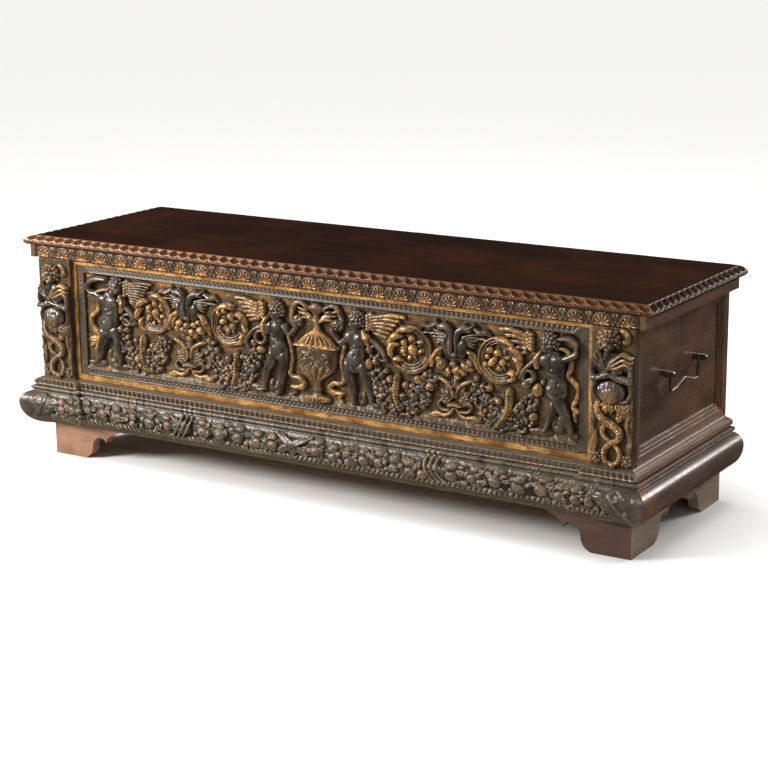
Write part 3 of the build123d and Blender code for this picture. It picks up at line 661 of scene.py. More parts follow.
puttoOuterLeft = dict(
    seed=3, gaze=1, head=(-563, 439, 19),
    limbs=[
        ([(-600, 406), (-621, 414), (-637, 417), (-647, 427), (-642, 441), (-618, 451), (-592, 452)],
         (10, 9, 8, 8, 8, 8, 6), 11, 10),
        ([(-556, 404), (-536, 390), (-516, 372), (-505, 357)], (9, 8, 7, 6), 9, 8),
        ([(-505, 357), (-520, 352), (-538, 362)], (6, 5), 7, 7),
        ([(-600, 334), (-605, 310), (-614, 290), (-620, 266), (-628, 252)], (18, 16, 12, 9, 6),
         (16, 15, 12, 10, 8), 8),
        ([(-624, 252), (-638, 248), (-650, 248)], (6, 5), 8, 6),
        ([(-572, 332), (-564, 308), (-566, 288), (-560, 264), (-559, 248)], (16, 15, 11, 8, 6),
         (14, 13, 11, 9), 6),
        ([(-560, 247), (-572, 242)], (6, 5), 7, 6),
        ([(-572, 424), (-577, 412)], (10, 12), 12, 9)],
    trunk=([(-584, 410), (-583, 396), (-584, 380), (-584, 364), (-588, 347), (-586, 334)],
           (19, 29, 27, 24, 29, 29)),
    forms=[(-599, 402, 16, 12, 6, 15), (-572, 400, 14, 12, 6, -15), (-588, 350, 18, 17, 3.5, 0)],
    creases=[([(-585, 412), (-585, 386)], 3.0, 2.2), ([(-608, 381), (-590, 374), (-566, 382)], 3.0, 1.8),
             ([(-612, 338), (-592, 328), (-570, 338)], 3.0, 2.4), ([(-592, 359), (-592, 355)], 2.0, 3.0),
             ([(-584, 326), (-584, 262)], 5.0, 5.0)])

puttoOuterRight = dict(
    seed=5, gaze=-1, head=(580, 436, 20),
    limbs=[
        ([(612, 404), (632, 414), (646, 424), (645, 437), (628, 449), (607, 449)], (10, 9, 8, 8, 8, 6), 11,
         10),
        ([(568, 402), (549, 397), (533, 384), (520, 369), (514, 356)], (7, 6, 6, 6, 5), 9, 9),
        ([(512, 354), (526, 350), (540, 356)], (6, 5), 7, 7),
        ([(590, 334), (592, 306), (586, 286), (577, 266), (570, 248)], (15, 13, 10, 7, 5), (11, 10, 9, 8, 7),
         6),
        ([(588, 340), (602, 315), (617, 290), (628, 268), (635, 250)], (19, 18, 13, 9, 7),
         (17, 16, 13, 11, 9), 9),
        ([(632, 250), (644, 247), (652, 247)], (7, 5), 9, 7),
        ([(585, 422), (590, 411)], (10, 12), 12, 9)],
    trunk=([(591, 408), (591, 396), (594, 380), (597, 364), (599, 349), (597, 336)],
           (19, 28, 26, 23, 26, 28)),
    forms=[(576, 401, 14, 12, 6, 15), (602, 400, 15, 12, 6, -15), (600, 350, 17, 17, 3.5, 0)],
    creases=[([(590, 412), (591, 386)], 3.0, 2.2), ([(574, 382), (594, 374), (614, 381)], 3.0, 1.8),
             ([(576, 340), (598, 328), (620, 338)], 3.0, 2.4), ([(606, 359), (606, 355)], 2.0, 3.0),
             ([(582, 318), (600, 294), (596, 262)], 3.0, 3.0)])

puttoInnerLeft = dict(
    seed=7, gaze=-1, head=(-104, 431, 19),
    limbs=[
        ([(-122, 397), (-141, 391), (-161, 383), (-178, 367), (-186, 351), (-179, 338)], (8, 7, 6, 6, 5, 4),
         10, 9),
        ([(-82, 396), (-68, 380), (-58, 389), (-47, 402)], (9, 7, 6, 6), 10, 10),
        ([(-112, 338), (-119, 316), (-131, 294), (-137, 268), (-141, 248)], (16, 14, 11, 8, 6),
         (15, 13, 11, 9, 8), 8),
        ([(-140, 247), (-150, 243), (-160, 243)], (6, 5), 8, 6),
        ([(-87, 338), (-85, 313), (-90, 289), (-95, 264), (-98, 246)], (17, 15, 12, 9, 7),
         (15, 14, 12, 10, 9), 8),
        ([(-98, 246), (-108, 240)], (7, 6), 9, 6),
        ([(-103, 416), (-103, 404)], (9, 12), 12, 9)],
    trunk=([(-102, 402), (-102, 390), (-104, 376), (-104, 362), (-98, 347), (-96, 335)],
           (17, 24, 21, 19, 23, 25)),
    forms=[(-117, 391, 10, 15, 6, -25), (-99, 393, 12, 12, 6, 10), (-98, 350, 15, 16, 3.5, 0)],
    creases=[([(-108, 403), (-108, 380)], 3.0, 2.2), ([(-120, 376), (-104, 370), (-86, 376)], 3.0, 1.8),
             ([(-116, 338), (-100, 328), (-80, 340)], 3.0, 2.4), ([(-103, 358), (-103, 354)], 2.0, 3.0),
             ([(-101, 330), (-110, 290), (-114, 256)], 4.0, 4.5)])

puttoInnerRight = dict(
    seed=9, gaze=-1, head=(110, 431, 19),
    limbs=[
        ([(131, 397), (152, 388), (172, 374), (184, 352)], (8, 7, 6, 6), 9, 8),
        ([(184, 350), (172, 350), (162, 360)], (5, 5), 7, 7),
        ([(92, 396), (70, 379), (58, 388), (48, 404)], (9, 7, 6, 6), 10, 10),
        ([(90, 336), (87, 312), (94, 287), (100, 264), (102, 248)], (17, 15, 11, 8, 6), (15, 14, 12, 10, 9),
         8),
        ([(102, 247), (94, 243)], (6, 5), 8, 6),
        ([(121, 336), (129, 312), (138, 288), (143, 264), (147, 249)], (16, 14, 11, 8, 6), (14, 13, 11, 9, 8),
         7),
        ([(148, 249), (164, 246)], (6, 4), 8, 6),
        ([(110, 416), (110, 404)], (9, 12), 12, 9)],
    trunk=([(110, 402), (110, 390), (111, 376), (111, 362), (106, 347), (103, 335)],
           (18, 25, 22, 20, 25, 27)),
    forms=[(96, 393, 12, 13, 6, 15), (119, 390, 11, 14, 6, -15), (106, 349, 17, 16, 3.5, 0)],
    creases=[([(108, 404), (109, 380)], 3.0, 2.2), ([(93, 377), (111, 370), (128, 377)], 3.0, 1.8),
             ([(84, 340), (106, 327), (126, 338)], 3.0, 2.4), ([(110, 358), (110, 354)], 2.0, 3.0),
             ([(108, 328), (115, 290), (118, 252)], 4.0, 4.5)])


def wing(c, look):
    # long feathers fanned from the shoulder, each split down its middle, and short scales over their roots
    c.shift = fieldSet["shift"]
    way = look["way"]
    x0, z0 = look["root"]
    x1, z1 = look["top"]
    x2, z2 = look["low"]
    count = look["count"]
    for k in range(count - 1, -1, -1):
        t = k / (count - 1)
        tip = (x1 + (x2 - x1) * t ** 0.8, z1 + (z2 - z1) * t)
        root = (x0 + way * 4, z0 + 9 + (z2 - z0 - 6) * t * 0.9)
        mid = (tip[0] * 0.55 + root[0] * 0.45, (tip[1] + root[1]) / 2 + 4.5 * (1 - t))
        c.strand([root, mid, tip], np.array((0.75, 1.0, 0.8)) * look["half"], (8, 9, 6), 2.0 + 5.0 * (1 - t),
                 look["gild"] * (0.95 - 0.5 * t), 0.4, 0.2, 0.6, ribs=1, ribDepth=look["split"])
    for column in range(3):
        for k in range(5):
            px = x0 + way * (column * 7.5 - 9)
            pz = z0 + 11 - 7.5 * k + 3.7 * (column % 2)
            c.dome(px, pz, 5.4, 4.4, 3.4, 9.5 - 1.2 * column, 0, look["gild"] * 0.7, 0.4, 0.2)


wings = (
    dict(way=1, root=(-528, 438), top=(-458, 452), low=(-500, 396), count=9, gild=0.4, half=3.3, split=1.0),
    dict(way=-1, root=(-148, 430), top=(-214, 449), low=(-180, 400), count=6, gild=0.85, half=4.9, split=1.8),
    dict(way=1, root=(148, 434), top=(230, 451), low=(182, 402), count=6, gild=0.85, half=5.0, split=1.8),
    dict(way=-1, root=(530, 438), top=(466, 454), low=(508, 404), count=5, gild=0.85, half=5.4, split=2.0))


def roundel(c, look):
    # a scrolled stem ring: thick gilt petals on one side, a doubled thin rim on the other, a ribbed bowl
    # below, and berries over a dark hollow
    c.shift = fieldSet["shift"]
    x, z, way, size = look["x"], look["z"], look["way"], look["size"]

    def arc(reach, start, end, dz=0.0):
        # way = 1 puts the petals on the right; angles are measured from the side away from the petals
        return [(x + way * (-reach * size * math.cos(a)), z + reach * size * math.sin(a) + dz)
                for a in np.radians(np.linspace(start, end, 9))]

    for reach, half, rise, gild in ((47, 3.0, 9, 0.35), (40.5, 2.2, 6, 0.25), (35.5, 1.8, 4, 0.2)):
        c.strand(arc(reach, 110, -40), (half * 0.7, half, half), rise, 3.0, gild, 0.4, 0.3, steps=3)
    for reach, half, rise, gild in ((45, 6.0, 10, 0.4), (37, 3.0, 8, 0.3), (31, 2.6, 6, 0.25)):
        c.strand(arc(reach, -20, -150, -1), (half * 0.6, half, half, half * 0.5),
                 (rise * 0.6, rise, rise, rise * 0.6), 2.5, gild, 0.5, 0.3, ribs=int(half > 5), ribDepth=2.4,
                 steps=3)
    for k in range(9):
        a = math.radians(40 * k + 10)
        c.leaf(x + 7 * math.cos(a), z + 7 * math.sin(a), 22, 5, math.degrees(a) + 14, 5, 2, 0.3, 0.4, 0.3)
    for path, half in look["petals"]:
        points = [(x + way * px, z + pz) for px, pz in path]
        c.strand(points, (half * 0.55, half, half * 1.05, half * 0.8, 2.2), (8, 13, 14, 12, 6), 4.0, 1.0,
                 0.45, 0.25)
    for bx, bz, rx, rz, turn in look["berries"]:
        c.berry(bx, bz, rx, rz, 8.0, 1.0, 0.4, turn)
    for k in range(4):
        c.dome(x - way * (8 - 5 * k), z + 48 - 2 * abs(k - 1.5), 5, 4.5, 7, 4, 20 * k, 0.15, 0.5, 0.3)


petalsWide = [([(6, 37), (-2, 41), (-16, 40), (-28, 32), (-34, 24)], 7.0),
              ([(20, 24), (30, 24), (40, 18), (47, 8), (50, -2)], 7.5),
              ([(38, 4), (44, 0), (49, -8), (48, -18), (42, -26)], 6.5),
              ([(34, -18), (37, -24), (37, -32), (30, -40), (20, -46)], 7.0)]
petalsTall = [([(-4, 42), (6, 45), (18, 43), (30, 37), (36, 30)], 7.0),
              ([(22, 27), (32, 28), (43, 22), (50, 12), (54, 0)], 8.0),
              ([(34, 8), (44, 6), (50, -4), (49, -16), (42, -28)], 7.5),
              ([(20, -26), (29, -24), (36, -26), (34, -36), (22, -44)], 7.0)]
roundels = (
    dict(x=-452, z=388, way=-1, size=1.0, petals=petalsWide,
         berries=((-466, 397, 7, 7, 0), (-447.5, 409, 6, 6, 0), (-430, 405, 5.5, 5.5, 0),
                  (-446, 388, 9, 10, 0), (-464, 375, 7, 7, 0), (-451, 363, 5, 5, 0), (-428, 381, 5.5, 5, 0),
                  (-434, 368, 5, 5, 0))),
    dict(x=-236, z=384, way=1, size=1.0, petals=petalsWide,
         berries=((-264, 407, 6, 6, 0), (-249, 413, 6.5, 6, 0), (-230, 404, 7, 7, 0), (-252, 389, 9, 6.5, 30),
                  (-224, 381, 8, 8, 0), (-238, 370, 6, 5.5, 0), (-262, 374, 5, 5, 0))),
    dict(x=246, z=383, way=-1, size=1.08, petals=petalsTall,
         berries=((250, 408, 7, 6.5, 0), (231, 397, 7.5, 7, 0), (254, 384, 12, 10, -40),
                  (230, 378, 6.5, 6.5, 0), (246, 366, 5.5, 5, 0), (272, 402, 9, 4.5, 0),
                  (273, 382, 7, 4.5, 30))),
    dict(x=463, z=386, way=1, size=1.02, petals=petalsTall,
         berries=((441, 405, 8.5, 7, 0), (460, 401, 9, 7, -10), (447, 381, 13, 7, 45), (472, 382, 7.5, 7, 0),
                  (464, 368, 6, 5.5, 0), (436, 391, 5.5, 5, 0), (430, 374, 5, 5, 0))))


def birds(c, x, cup):
    # two swans breast to breast over a gilt leaf cup, gilt stems beside it and an acanthus knot below
    c.shift = fieldSet["shift"]
    for way in (-1, 1):
        at = mirrored(x, way)
        for k in range(5):
            c.strand([at(20, 426 - 2 * k), at(40, 432 - 6 * k), at(60 - 4 * k, 436 - 8 * k)], (4.0, 3.6, 2.2),
                     (9, 8, 5), 4.0 + 0.4 * k, 0.12, 0.7, 0.3)
        c.strand([at(48, 446), at(62, 439), at(76, 441), at(86, 434)], (5, 7, 6, 2.5), (8, 11, 10, 4), 5, 0.0,
                 0.8, 0.4)
        c.berry(*at(70, 441), 3.0, 3.0, 13.0, 0.0, 0.5)
        c.strand([at(50, 424), at(66, 426), at(82, 424)], (2.4, 3.0, 1.8), 6, 4, 0.35, 0.4, 0.3)
        c.dome(*at(18, 402), 13.5, 22, 13, 7, -8 * way, 0.0, 1.0, 0.6)
        c.strand([at(0, 386), at(7, 390), at(8.5, 402), at(6.5, 420), at(10, 436), at(22, 444), at(36, 443)],
                 (6, 6, 6, 6, 7, 8, 7), (12, 13, 13, 13, 13, 12, 10), 9, 0.0, 1.0, 0.4)
        c.dome(*at(22, 408), 7, 13, 5, 17, -8 * way, 0.0, 0.8, 0.4)
        c.strand([at(24, 451), at(33, 445), at(46, 453)], (2.0, 3.0, 2.0), (6, 8, 6), 12, 0.0, 0.9, 0.3)
        c.strand([at(30, 398), at(44, 387), at(54, 370), at(60, 354)], (5, 7, 7, 4), (9, 12, 11, 6), 5, 0.95,
                 0.4, 0.3, ribs=2, ribDepth=2.2)
        c.strand([at(36, 384), at(43, 374), at(47, 360)], (3, 3.5, 2.5), (6, 8, 5), 5, 0.5, 0.4, 0.3)
    for px, pz, rx, rz, turn, gild in cup:
        c.berry(x + px, pz, rx, rz, 6.0 + 0.09 * (pz - 340), gild, 0.3, turn, 0.8)
        c.groove([(x + px, pz + rz * 0.6), (x + px, pz - rz * 0.6)], 1.3, 1.6)
    c.dome(x + 2, 321, 10, 13, 9, 4, 0, 0.05, 0.8, 0.4)
    for px, pz in ((-4, 326), (4, 327), (0, 318), (-5, 314), (6, 316)):
        c.berry(x + px, pz, 3.0, 3.0, 11.0, 0.0, 0.7, 0, 0.5)
    for way in (-1, 1):
        at = mirrored(x, way)
        for turn, length, half in ((62, 34, 8), (28, 36, 10), (-4, 34, 10), (-36, 30, 9)):
            angle = turn if way > 0 else 180 - turn
            c.leaf(*at(8, 290), length, half, angle, 8, 3.5, 0.15, 0.4, 0.3, 2.6, 3)
        c.strand([at(4, 292), at(8, 310), at(20, 323), at(38, 331), at(48, 332)], (3, 4, 4.5, 4, 2),
                 (9, 10, 10, 9, 4), 5, 0.55, 0.3, 0.3, ribs=1, ribDepth=2.0)
        c.strand([at(3, 268), at(12, 256), at(27, 249), at(46, 252), at(62, 246)], (3, 4.5, 4.5, 4.5, 2),
                 (9, 9, 9, 8, 4), 4, 0.6, 0.3, 0.3, ribs=1, ribDepth=2.0)
        c.leaf(*at(34, 250), 34, 6, -8 if way > 0 else 188, 6, 4, 0.7, 0.3, 0.3, 1.6)
        c.strand([at(14, 262), at(30, 262), at(40, 272), at(34, 282), at(24, 276)], (3, 3.6, 3.2, 2.4),
                 (8, 9, 7, 5), 4, 0.2, 0.4, 0.3)
    c.strand([(x - 16, 273), (x, 276), (x + 16, 273)], (3, 5, 3), (8, 11, 8), 8, 0.95, 0.3, 0.4)


cupLeft = [(-12, 345, 9, 8, 20, 0.35), (2, 339, 9, 8, 0, 0.5), (18, 346, 9, 8, -20, 0.4),
           (-31, 359, 9, 8, 30, 0.6), (-15, 357, 9, 8, 10, 0.7), (-3, 354, 8, 8, 0, 0.5),
           (10, 353, 9, 9, 0, 0.7), (34, 360, 12, 9, -25, 0.8), (-26, 372, 10, 8, 25, 0.8),
           (-5, 368, 9, 7, 0, 0.8), (17, 371, 9, 7, 0, 0.8), (29, 378, 7, 6, -20, 0.5)]
cupRight = [(-20, 343, 8, 9, 10, 0.5), (6, 340, 9, 10, 0, 0.6), (-16, 352, 8, 10, 8, 0.7),
            (5, 352, 11, 11, -10, 0.9), (20, 350, 8, 9, -15, 0.5), (-31, 361, 14, 12, 25, 0.9),
            (30, 362, 16, 9, -22, 0.9), (-4, 364, 9, 7, 0, 0.6), (-40, 372, 8, 6, 30, 0.5),
            (38, 372, 10, 6, -25, 0.7)]


def swag(c, look):
    # a thick hanging bunch of leaves and fruit with a ribbed tie across it
    c.shift = fieldSet["shift"]
    rng = np.random.default_rng(look["seed"])
    c.strand(look["path"], np.array(look["half"]) * 0.95, (4, 7, 8, 8, 7, 4), 1.0, 0.0, 0.3, 1.5)
    line = smoothPath(look["path"], 12)
    half = np.interp(np.linspace(0, 1, len(line)), np.linspace(0, 1, len(look["half"])), look["half"])
    taken = [(fx, fz) for fx, fz, size in look["fruit"]]
    spots = []
    for _ in range(900):
        k = int(rng.integers(len(line)))
        a, r = rng.uniform(0, 2 * math.pi), half[k] * rng.random() ** 0.5
        px, pz = line[k][0] + r * math.cos(a), line[k][1] + r * math.sin(a)
        if pz > 236 and all(math.hypot(px - qx, pz - qz) > 10.5 for qx, qz in taken + spots):
            spots.append((px, pz))
    for px, pz in spots:
        c.leaf(px - 5, pz - 3, rng.uniform(16, 22), rng.uniform(5, 7), rng.uniform(0, 360), 6,
               rng.uniform(5, 8), 0.5 * (rng.random() > 0.85), 0.7, 0.25, 2.4, 3, 1.2)
    for k, (px, pz) in enumerate(spots):
        if k % 5 in (0, 2):
            size = rng.uniform(4.5, 7.5)
            c.berry(px, pz, size, size * rng.uniform(0.9, 1.2), rng.uniform(6, 9), 0.6 * (rng.random() > 0.8),
                    rng.uniform(0.4, 0.9), rng.uniform(0, 180))
        elif k % 5 == 1:
            for j in range(3):
                c.berry(px + 4.4 * math.cos(2.1 * j), pz + 4.4 * math.sin(2.1 * j), 3.6, 3.6, 8.5, 0.0, 0.8,
                        0, 0.5)
    for k, (fx, fz, size) in enumerate(look["fruit"]):
        c.berry(fx, fz, 0.9 * size, 0.9 * size * (1.0 + 0.12 * math.sin(3 * k)), 8.0,
                (0.7, 0.1, 0.35, 0.0)[k % 4], 0.5, 30 * k, 2.0)
    for px, pz in spots:
        for _ in range(2):
            a = rng.uniform(0, 2 * math.pi)
            c.leaf(px + 4 * math.cos(a), pz + 4 * math.sin(a), rng.uniform(8, 13), rng.uniform(2.6, 4.0),
                   rng.uniform(0, 360), 4.5, rng.uniform(8, 11.5), 0.5 * (rng.random() > 0.85),
                   rng.uniform(0.5, 1.0), 0.15, 1.6)
    c.strand(look["tie"], look["tieHalf"], (11, 12, 12, 10), 9, 0.55, 0.35, 0.3, ribs=2, ribDepth=2.0,
             cross=7.0, crossDepth=2.4)


swags = (
    dict(seed=21, path=[(-546, 324), (-527, 293), (-497, 268), (-466, 264), (-440, 284), (-420, 322)],
         half=(12, 20, 26, 26, 22, 12), tie=[(-486, 322), (-487, 296), (-484, 272), (-477, 249)], tieHalf=8,
         fruit=[(-532, 320, 7), (-526, 305, 9), (-543, 314, 6), (-508, 315, 7), (-505, 271, 9),
                (-517, 279, 7), (-524, 291, 8), (-469, 293, 8), (-460, 308, 7), (-444, 280, 10),
                (-435, 329, 6), (-419, 318, 8), (-498, 256, 7), (-462, 248, 7)]),
    dict(seed=22, path=[(-292, 338), (-275, 300), (-248, 268), (-215, 258), (-188, 282), (-165, 318)],
         half=(12, 20, 27, 27, 24, 14), tie=[(-215, 316), (-215, 290), (-217, 268), (-224, 247)], tieHalf=7.5,
         fruit=[(-292, 340, 7), (-270, 320, 8), (-282, 293, 6), (-268, 302, 6), (-260, 289, 7),
                (-274, 270, 7), (-243, 255, 8), (-240, 302, 9), (-231, 284, 7), (-199, 313, 7),
                (-181, 304, 9), (-191, 268, 9), (-155, 298, 5), (-165, 335, 7), (-150, 318, 7)]),
    dict(seed=23, path=[(152, 322), (175, 290), (205, 262), (240, 262), (275, 292), (303, 330)],
         half=(14, 22, 26, 26, 22, 13), tie=[(213, 318), (210, 292), (212, 268), (222, 248)], tieHalf=7.5,
         fruit=[(297, 308, 11), (168, 327, 6), (194, 311, 9), (235, 303, 9), (265, 319, 10), (186, 328, 6),
                (285, 334, 7), (257, 280, 11), (240, 250, 6), (175, 285, 9), (195, 268, 7), (160, 345, 8)]),
    dict(seed=24, path=[(410, 332), (425, 298), (450, 272), (485, 258), (520, 272), (548, 318)],
         half=(12, 20, 26, 26, 24, 14), tie=[(488, 320), (488, 292), (480, 267), (464, 246)], tieHalf=8.5,
         fruit=[(440, 322, 8), (475, 312, 5), (418, 312, 8), (447, 283, 7), (462, 297, 7), (432, 273, 6),
                (442, 264, 6), (518, 297, 9), (545, 275, 11), (505, 248, 7), (520, 262, 6), (410, 340, 7)]))

urnSet = dict(profile=((235, 30), (238, 34), (245, 34), (247, 27), (251, 14), (257, 8), (263, 11), (268, 8),
                       (276, 8), (284, 11), (290, 20), (299, 33), (309, 45), (316, 50), (336, 53), (357, 53),
                       (359, 56), (363, 56), (365, 52), (373, 45), (381, 36), (389, 25), (396, 13), (402, 8),
                       (413, 6), (419, 9), (424, 8), (433, 7), (439, 13), (445, 22), (450, 22), (454, 12),
                       (458, 6)), middle=3.5, base=8.0, depth=16.0, outside=-40.0)


def urn(c):
    # a covered vase: half round over its own outline, fluted gilt shoulder, scrolled body, leaf cup and foot
    c.shift = fieldSet["figureShift"]
    middle = urnSet["middle"]
    heights, halves = np.array(urnSet["profile"], float).T
    for way in (-1, 1):
        at = mirrored(middle, way)
        c.strand([at(30, 452), at(42, 456), at(55, 452), at(64, 436), at(66, 418), at(60, 402)],
                 (4, 5, 5.5, 5, 4.5, 3), (9, 12, 12, 11, 9, 6), 6, 0.4, 0.6, 0.3, ribs=1, ribDepth=2.4)
        c.strand([at(34, 454), at(24, 448), at(27, 440), at(36, 443)], (4, 4, 3.2, 2.6), (10, 10, 8, 7), 8,
                 0.3, 0.6, 0.3)
        for k, (px, pz) in enumerate(((52, 444), (48, 433), (40, 422))):
            c.strand([at(5, 418 - 2 * k), at(px * 0.5, (pz + 418) / 2 + 3), at(px, pz)], (3, 4.5, 2.4),
                     (8, 9, 5), 4.0 + k, 0.4 + 0.2 * (way > 0), 0.4, 0.3, ribs=1, ribDepth=2.0)
        c.dome(*at(52, 412), 13, 15, 10, 5, 0, 0.0, 0.7, 0.5)
        for k in range(5):
            c.berry(*at(50 + 8 * math.cos(1.3 * k), 412 + 9 * math.sin(1.3 * k)), 4.5, 4.0, 9, 0.1, 0.7,
                    40 * k)
    w = c.window(-60, 66, heights[0], heights[-1])
    X = c.X[w] - c.shift[0] - middle
    Z = c.Z[w] - c.shift[1]

    def zone(low, high):
        # where the vase lies between two heights
        return (Z > low) & (Z < high)

    half = np.interp(Z, heights, halves)
    d = X / half
    body = urnSet["base"] + urnSet["depth"] * (half / 53.0) ** 0.35 * np.sqrt(np.clip(1 - d * d, 0, 1))
    turn = np.arcsin(np.clip(d, -1, 1)) / (np.pi / 2)
    flute, cup, gadroon = [np.cos(np.pi * count * turn) ** 2 for count in (5.5, 3.5, 6.5)]
    body = body + np.where(zone(365, 398), 1.6 - 4.4 * flute * np.clip((half - 12) / 20, 0, 1), 0)
    body = body + np.where(zone(286, 311 + 6 * cup), 3.4 - 4.2 * (1 - cup) ** 2, 0)
    body = body + np.where(Z < 246, 2.0 - 4.0 * gadroon, 0)
    body = np.where(np.abs(d) < 1, body, urnSet["outside"])
    gild = np.where(zone(359, 402), 0.98 - 0.25 * flute, 0.05)
    gild = np.where(zone(286, 312), 0.62 * (1 - cup * 0.4), gild)
    gild = np.where(Z < 247, 0.75, gild)
    gild = np.where(zone(402, 432), 0.65, gild)
    c.press(w, body, gild, 0.45, 0.4)
    rng = np.random.default_rng(31)
    for _ in range(26):
        px, pz = middle + rng.uniform(-44, 44), rng.uniform(316, 355)
        a = math.radians(rng.uniform(15, 60) * (1 if px < 0 else -1))
        lift = urnSet["base"] + urnSet["depth"] * math.sqrt(max(1 - ((px - middle) / 54) ** 2, 0.05)) - 1.0
        dx, dz = 9 * math.cos(a), 9 * math.sin(a)
        c.strand([(px - dx, pz - dz), (px, pz + 2.5), (px + dx, pz + dz)], (1.4, 2.2, 1.2), (2.2, 3.4, 1.8),
                 lift, 0.12, 0.4, 0.2, steps=3)
    for cx, way in ((-24, 1), (30, -1)):
        angle = np.linspace(0, 3.3 * np.pi, 18)
        radius = np.linspace(11.5, 2.0, 18)
        path = [(middle + cx + way * r * math.cos(a), 336 + r * math.sin(a)) for a, r in zip(angle, radius)]
        c.strand(path, (2.2, 1.8, 1.4), (3.4, 3.0, 2.4), 21.0, 0.15, 0.5, 0.2, steps=3)
    c.dome(middle - 8, 350, 7, 7, 4, 23, 0, 0.35, 0.5, 0.4)
    for way in (-1, 1):
        c.groove([(middle - 8 + 3 * way, 351), (middle - 8 + 3.4 * way, 351.5)], 1.3, 2.4)
    c.strand([(middle - 55, 361), (middle, 361), (middle + 55, 361)], 2.4, (5, 7, 5), 17.5, 0.95, 0.4, 0.3)


def ribbons(c):
    # gilt ribbons, tassels and rings held by the figures
    c.shift = fieldSet["shift"]

    def band(points, half, rise=9, base=5, gild=0.85):
        # a gilt ribbon with a crease along it
        c.strand(points, half, rise, base, gild, 0.35, 0.3, ribs=1, ribDepth=2.2)

    band([(-580, 430), (-606, 425), (-624, 416)], 3.5, 6, 15, 0.5)
    band([(-626, 413), (-617, 393), (-622, 375), (-637, 361), (-642, 350), (-637, 336), (-624, 322),
          (-615, 309), (-622, 297), (-630, 279)], (4, 6, 5.5, 6, 6, 6, 6, 7, 6, 4))
    c.leaf(-618, 306, 38, 9, 188, 8, 6, 0.85, 0.3, 0.3, 2.0)
    c.leaf(-626, 302, 32, 7, 215, 8, 6, 0.85, 0.3, 0.3, 2.0)
    band([(600, 428), (620, 425), (631, 408), (629, 386), (626, 372), (641, 359), (650, 345), (645, 326),
          (637, 310), (645, 298)], (3.5, 5, 6, 6, 6, 6, 6, 6, 5, 7))
    c.leaf(641, 304, 30, 5, 275, 7, 6, 0.7, 0.3, 0.3, 1.6)
    for way, x0 in ((-1, 0), (1, 6)):
        at = mirrored(x0, way)
        band([at(72, 374), at(66, 352), at(62, 332), at(66, 310), at(70, 294)], (4, 5, 4.5, 5, 5), 8, 4, 0.6)
        band([at(70, 292), at(60, 284), at(44, 283), at(32, 273), at(40, 262), at(66, 262)],
             (4, 5, 5.5, 6.5, 7, 3), 10, 5, 0.95)
        band([at(62, 262), at(56, 250), at(64, 242)], (4, 5, 3), 8, 4, 0.7 if way > 0 else 0.0)
    for x, z, size in ((-529, 363, 13), (-146, 366, 14), (158, 368, 13), (534, 361, 13)):
        turn = np.radians(np.linspace(0, 360, 17))
        c.strand([(x + size * math.cos(a), z + size * math.sin(a)) for a in turn], 4.0, 9.0, 7.0, 0.05, 0.8,
                 0.3, steps=3)
    for x, z, rx, rz, gild in ((-553, 336, 8, 9, 0.3), (-532, 338, 7, 8, 0.3), (-549, 363, 5, 5, 0.1),
                               (-147, 337, 11, 9, 0.8), (-166, 350, 8, 9, 0.2), (-155, 300, 5, 8, 0.2),
                               (142, 370, 8, 9, 0.1), (141, 338, 8, 12, 0.9), (160, 347, 9, 8, 0.6),
                               (152, 318, 6, 7, 0.1), (528, 343, 10, 8, 0.5), (555, 334, 11, 14, 0.85),
                               (567, 352, 5, 6, 0.1)):
        c.berry(x, z, rx, rz, 8, gild, 0.5, 0, 1.0)
        if rz > 8:
            for way in (-1, 0, 1):
                c.groove([(x + way * rx * 0.45, z + rz * 0.5), (x + way * rx * 0.5, z - rz * 0.8)], 1.2, 1.8)


def armlets(c):
    # gilt leaves over the shoulders, after the figures because they lie on them
    c.shift = fieldSet["shift"]
    for points, half in (([(-548, 418), (-541, 400), (-547, 378)], (3, 8, 3)),
                         ([(-129, 412), (-135, 394), (-134, 374)], (3, 7, 3)),
                         ([(129, 412), (138, 396), (144, 380)], (3, 8, 4)),
                         ([(562, 416), (555, 400), (553, 382)], (3, 7, 3))):
        c.strand(points, half, (7, 11, 6), 14, 1.0, 0.4, 0.3, ribs=1, ribDepth=2.4)


def rocks(c):
    # small mounds under and between the figures
    c.shift = fieldSet["shift"]
    for x, z, rx, rz in ((-586, 262, 16, 24), (603, 266, 18, 22), (-118, 256, 14, 18), (120, 256, 12, 18),
                         (-628, 246, 26, 12), (644, 244, 18, 12), (170, 246, 26, 10), (-168, 246, 30, 10),
                         (-560, 244, 30, 9), (560, 244, 30, 10)):
        c.dome(x, z, rx, rz, 8, 1.5, 0, 0.0, 0.3, 2.0)


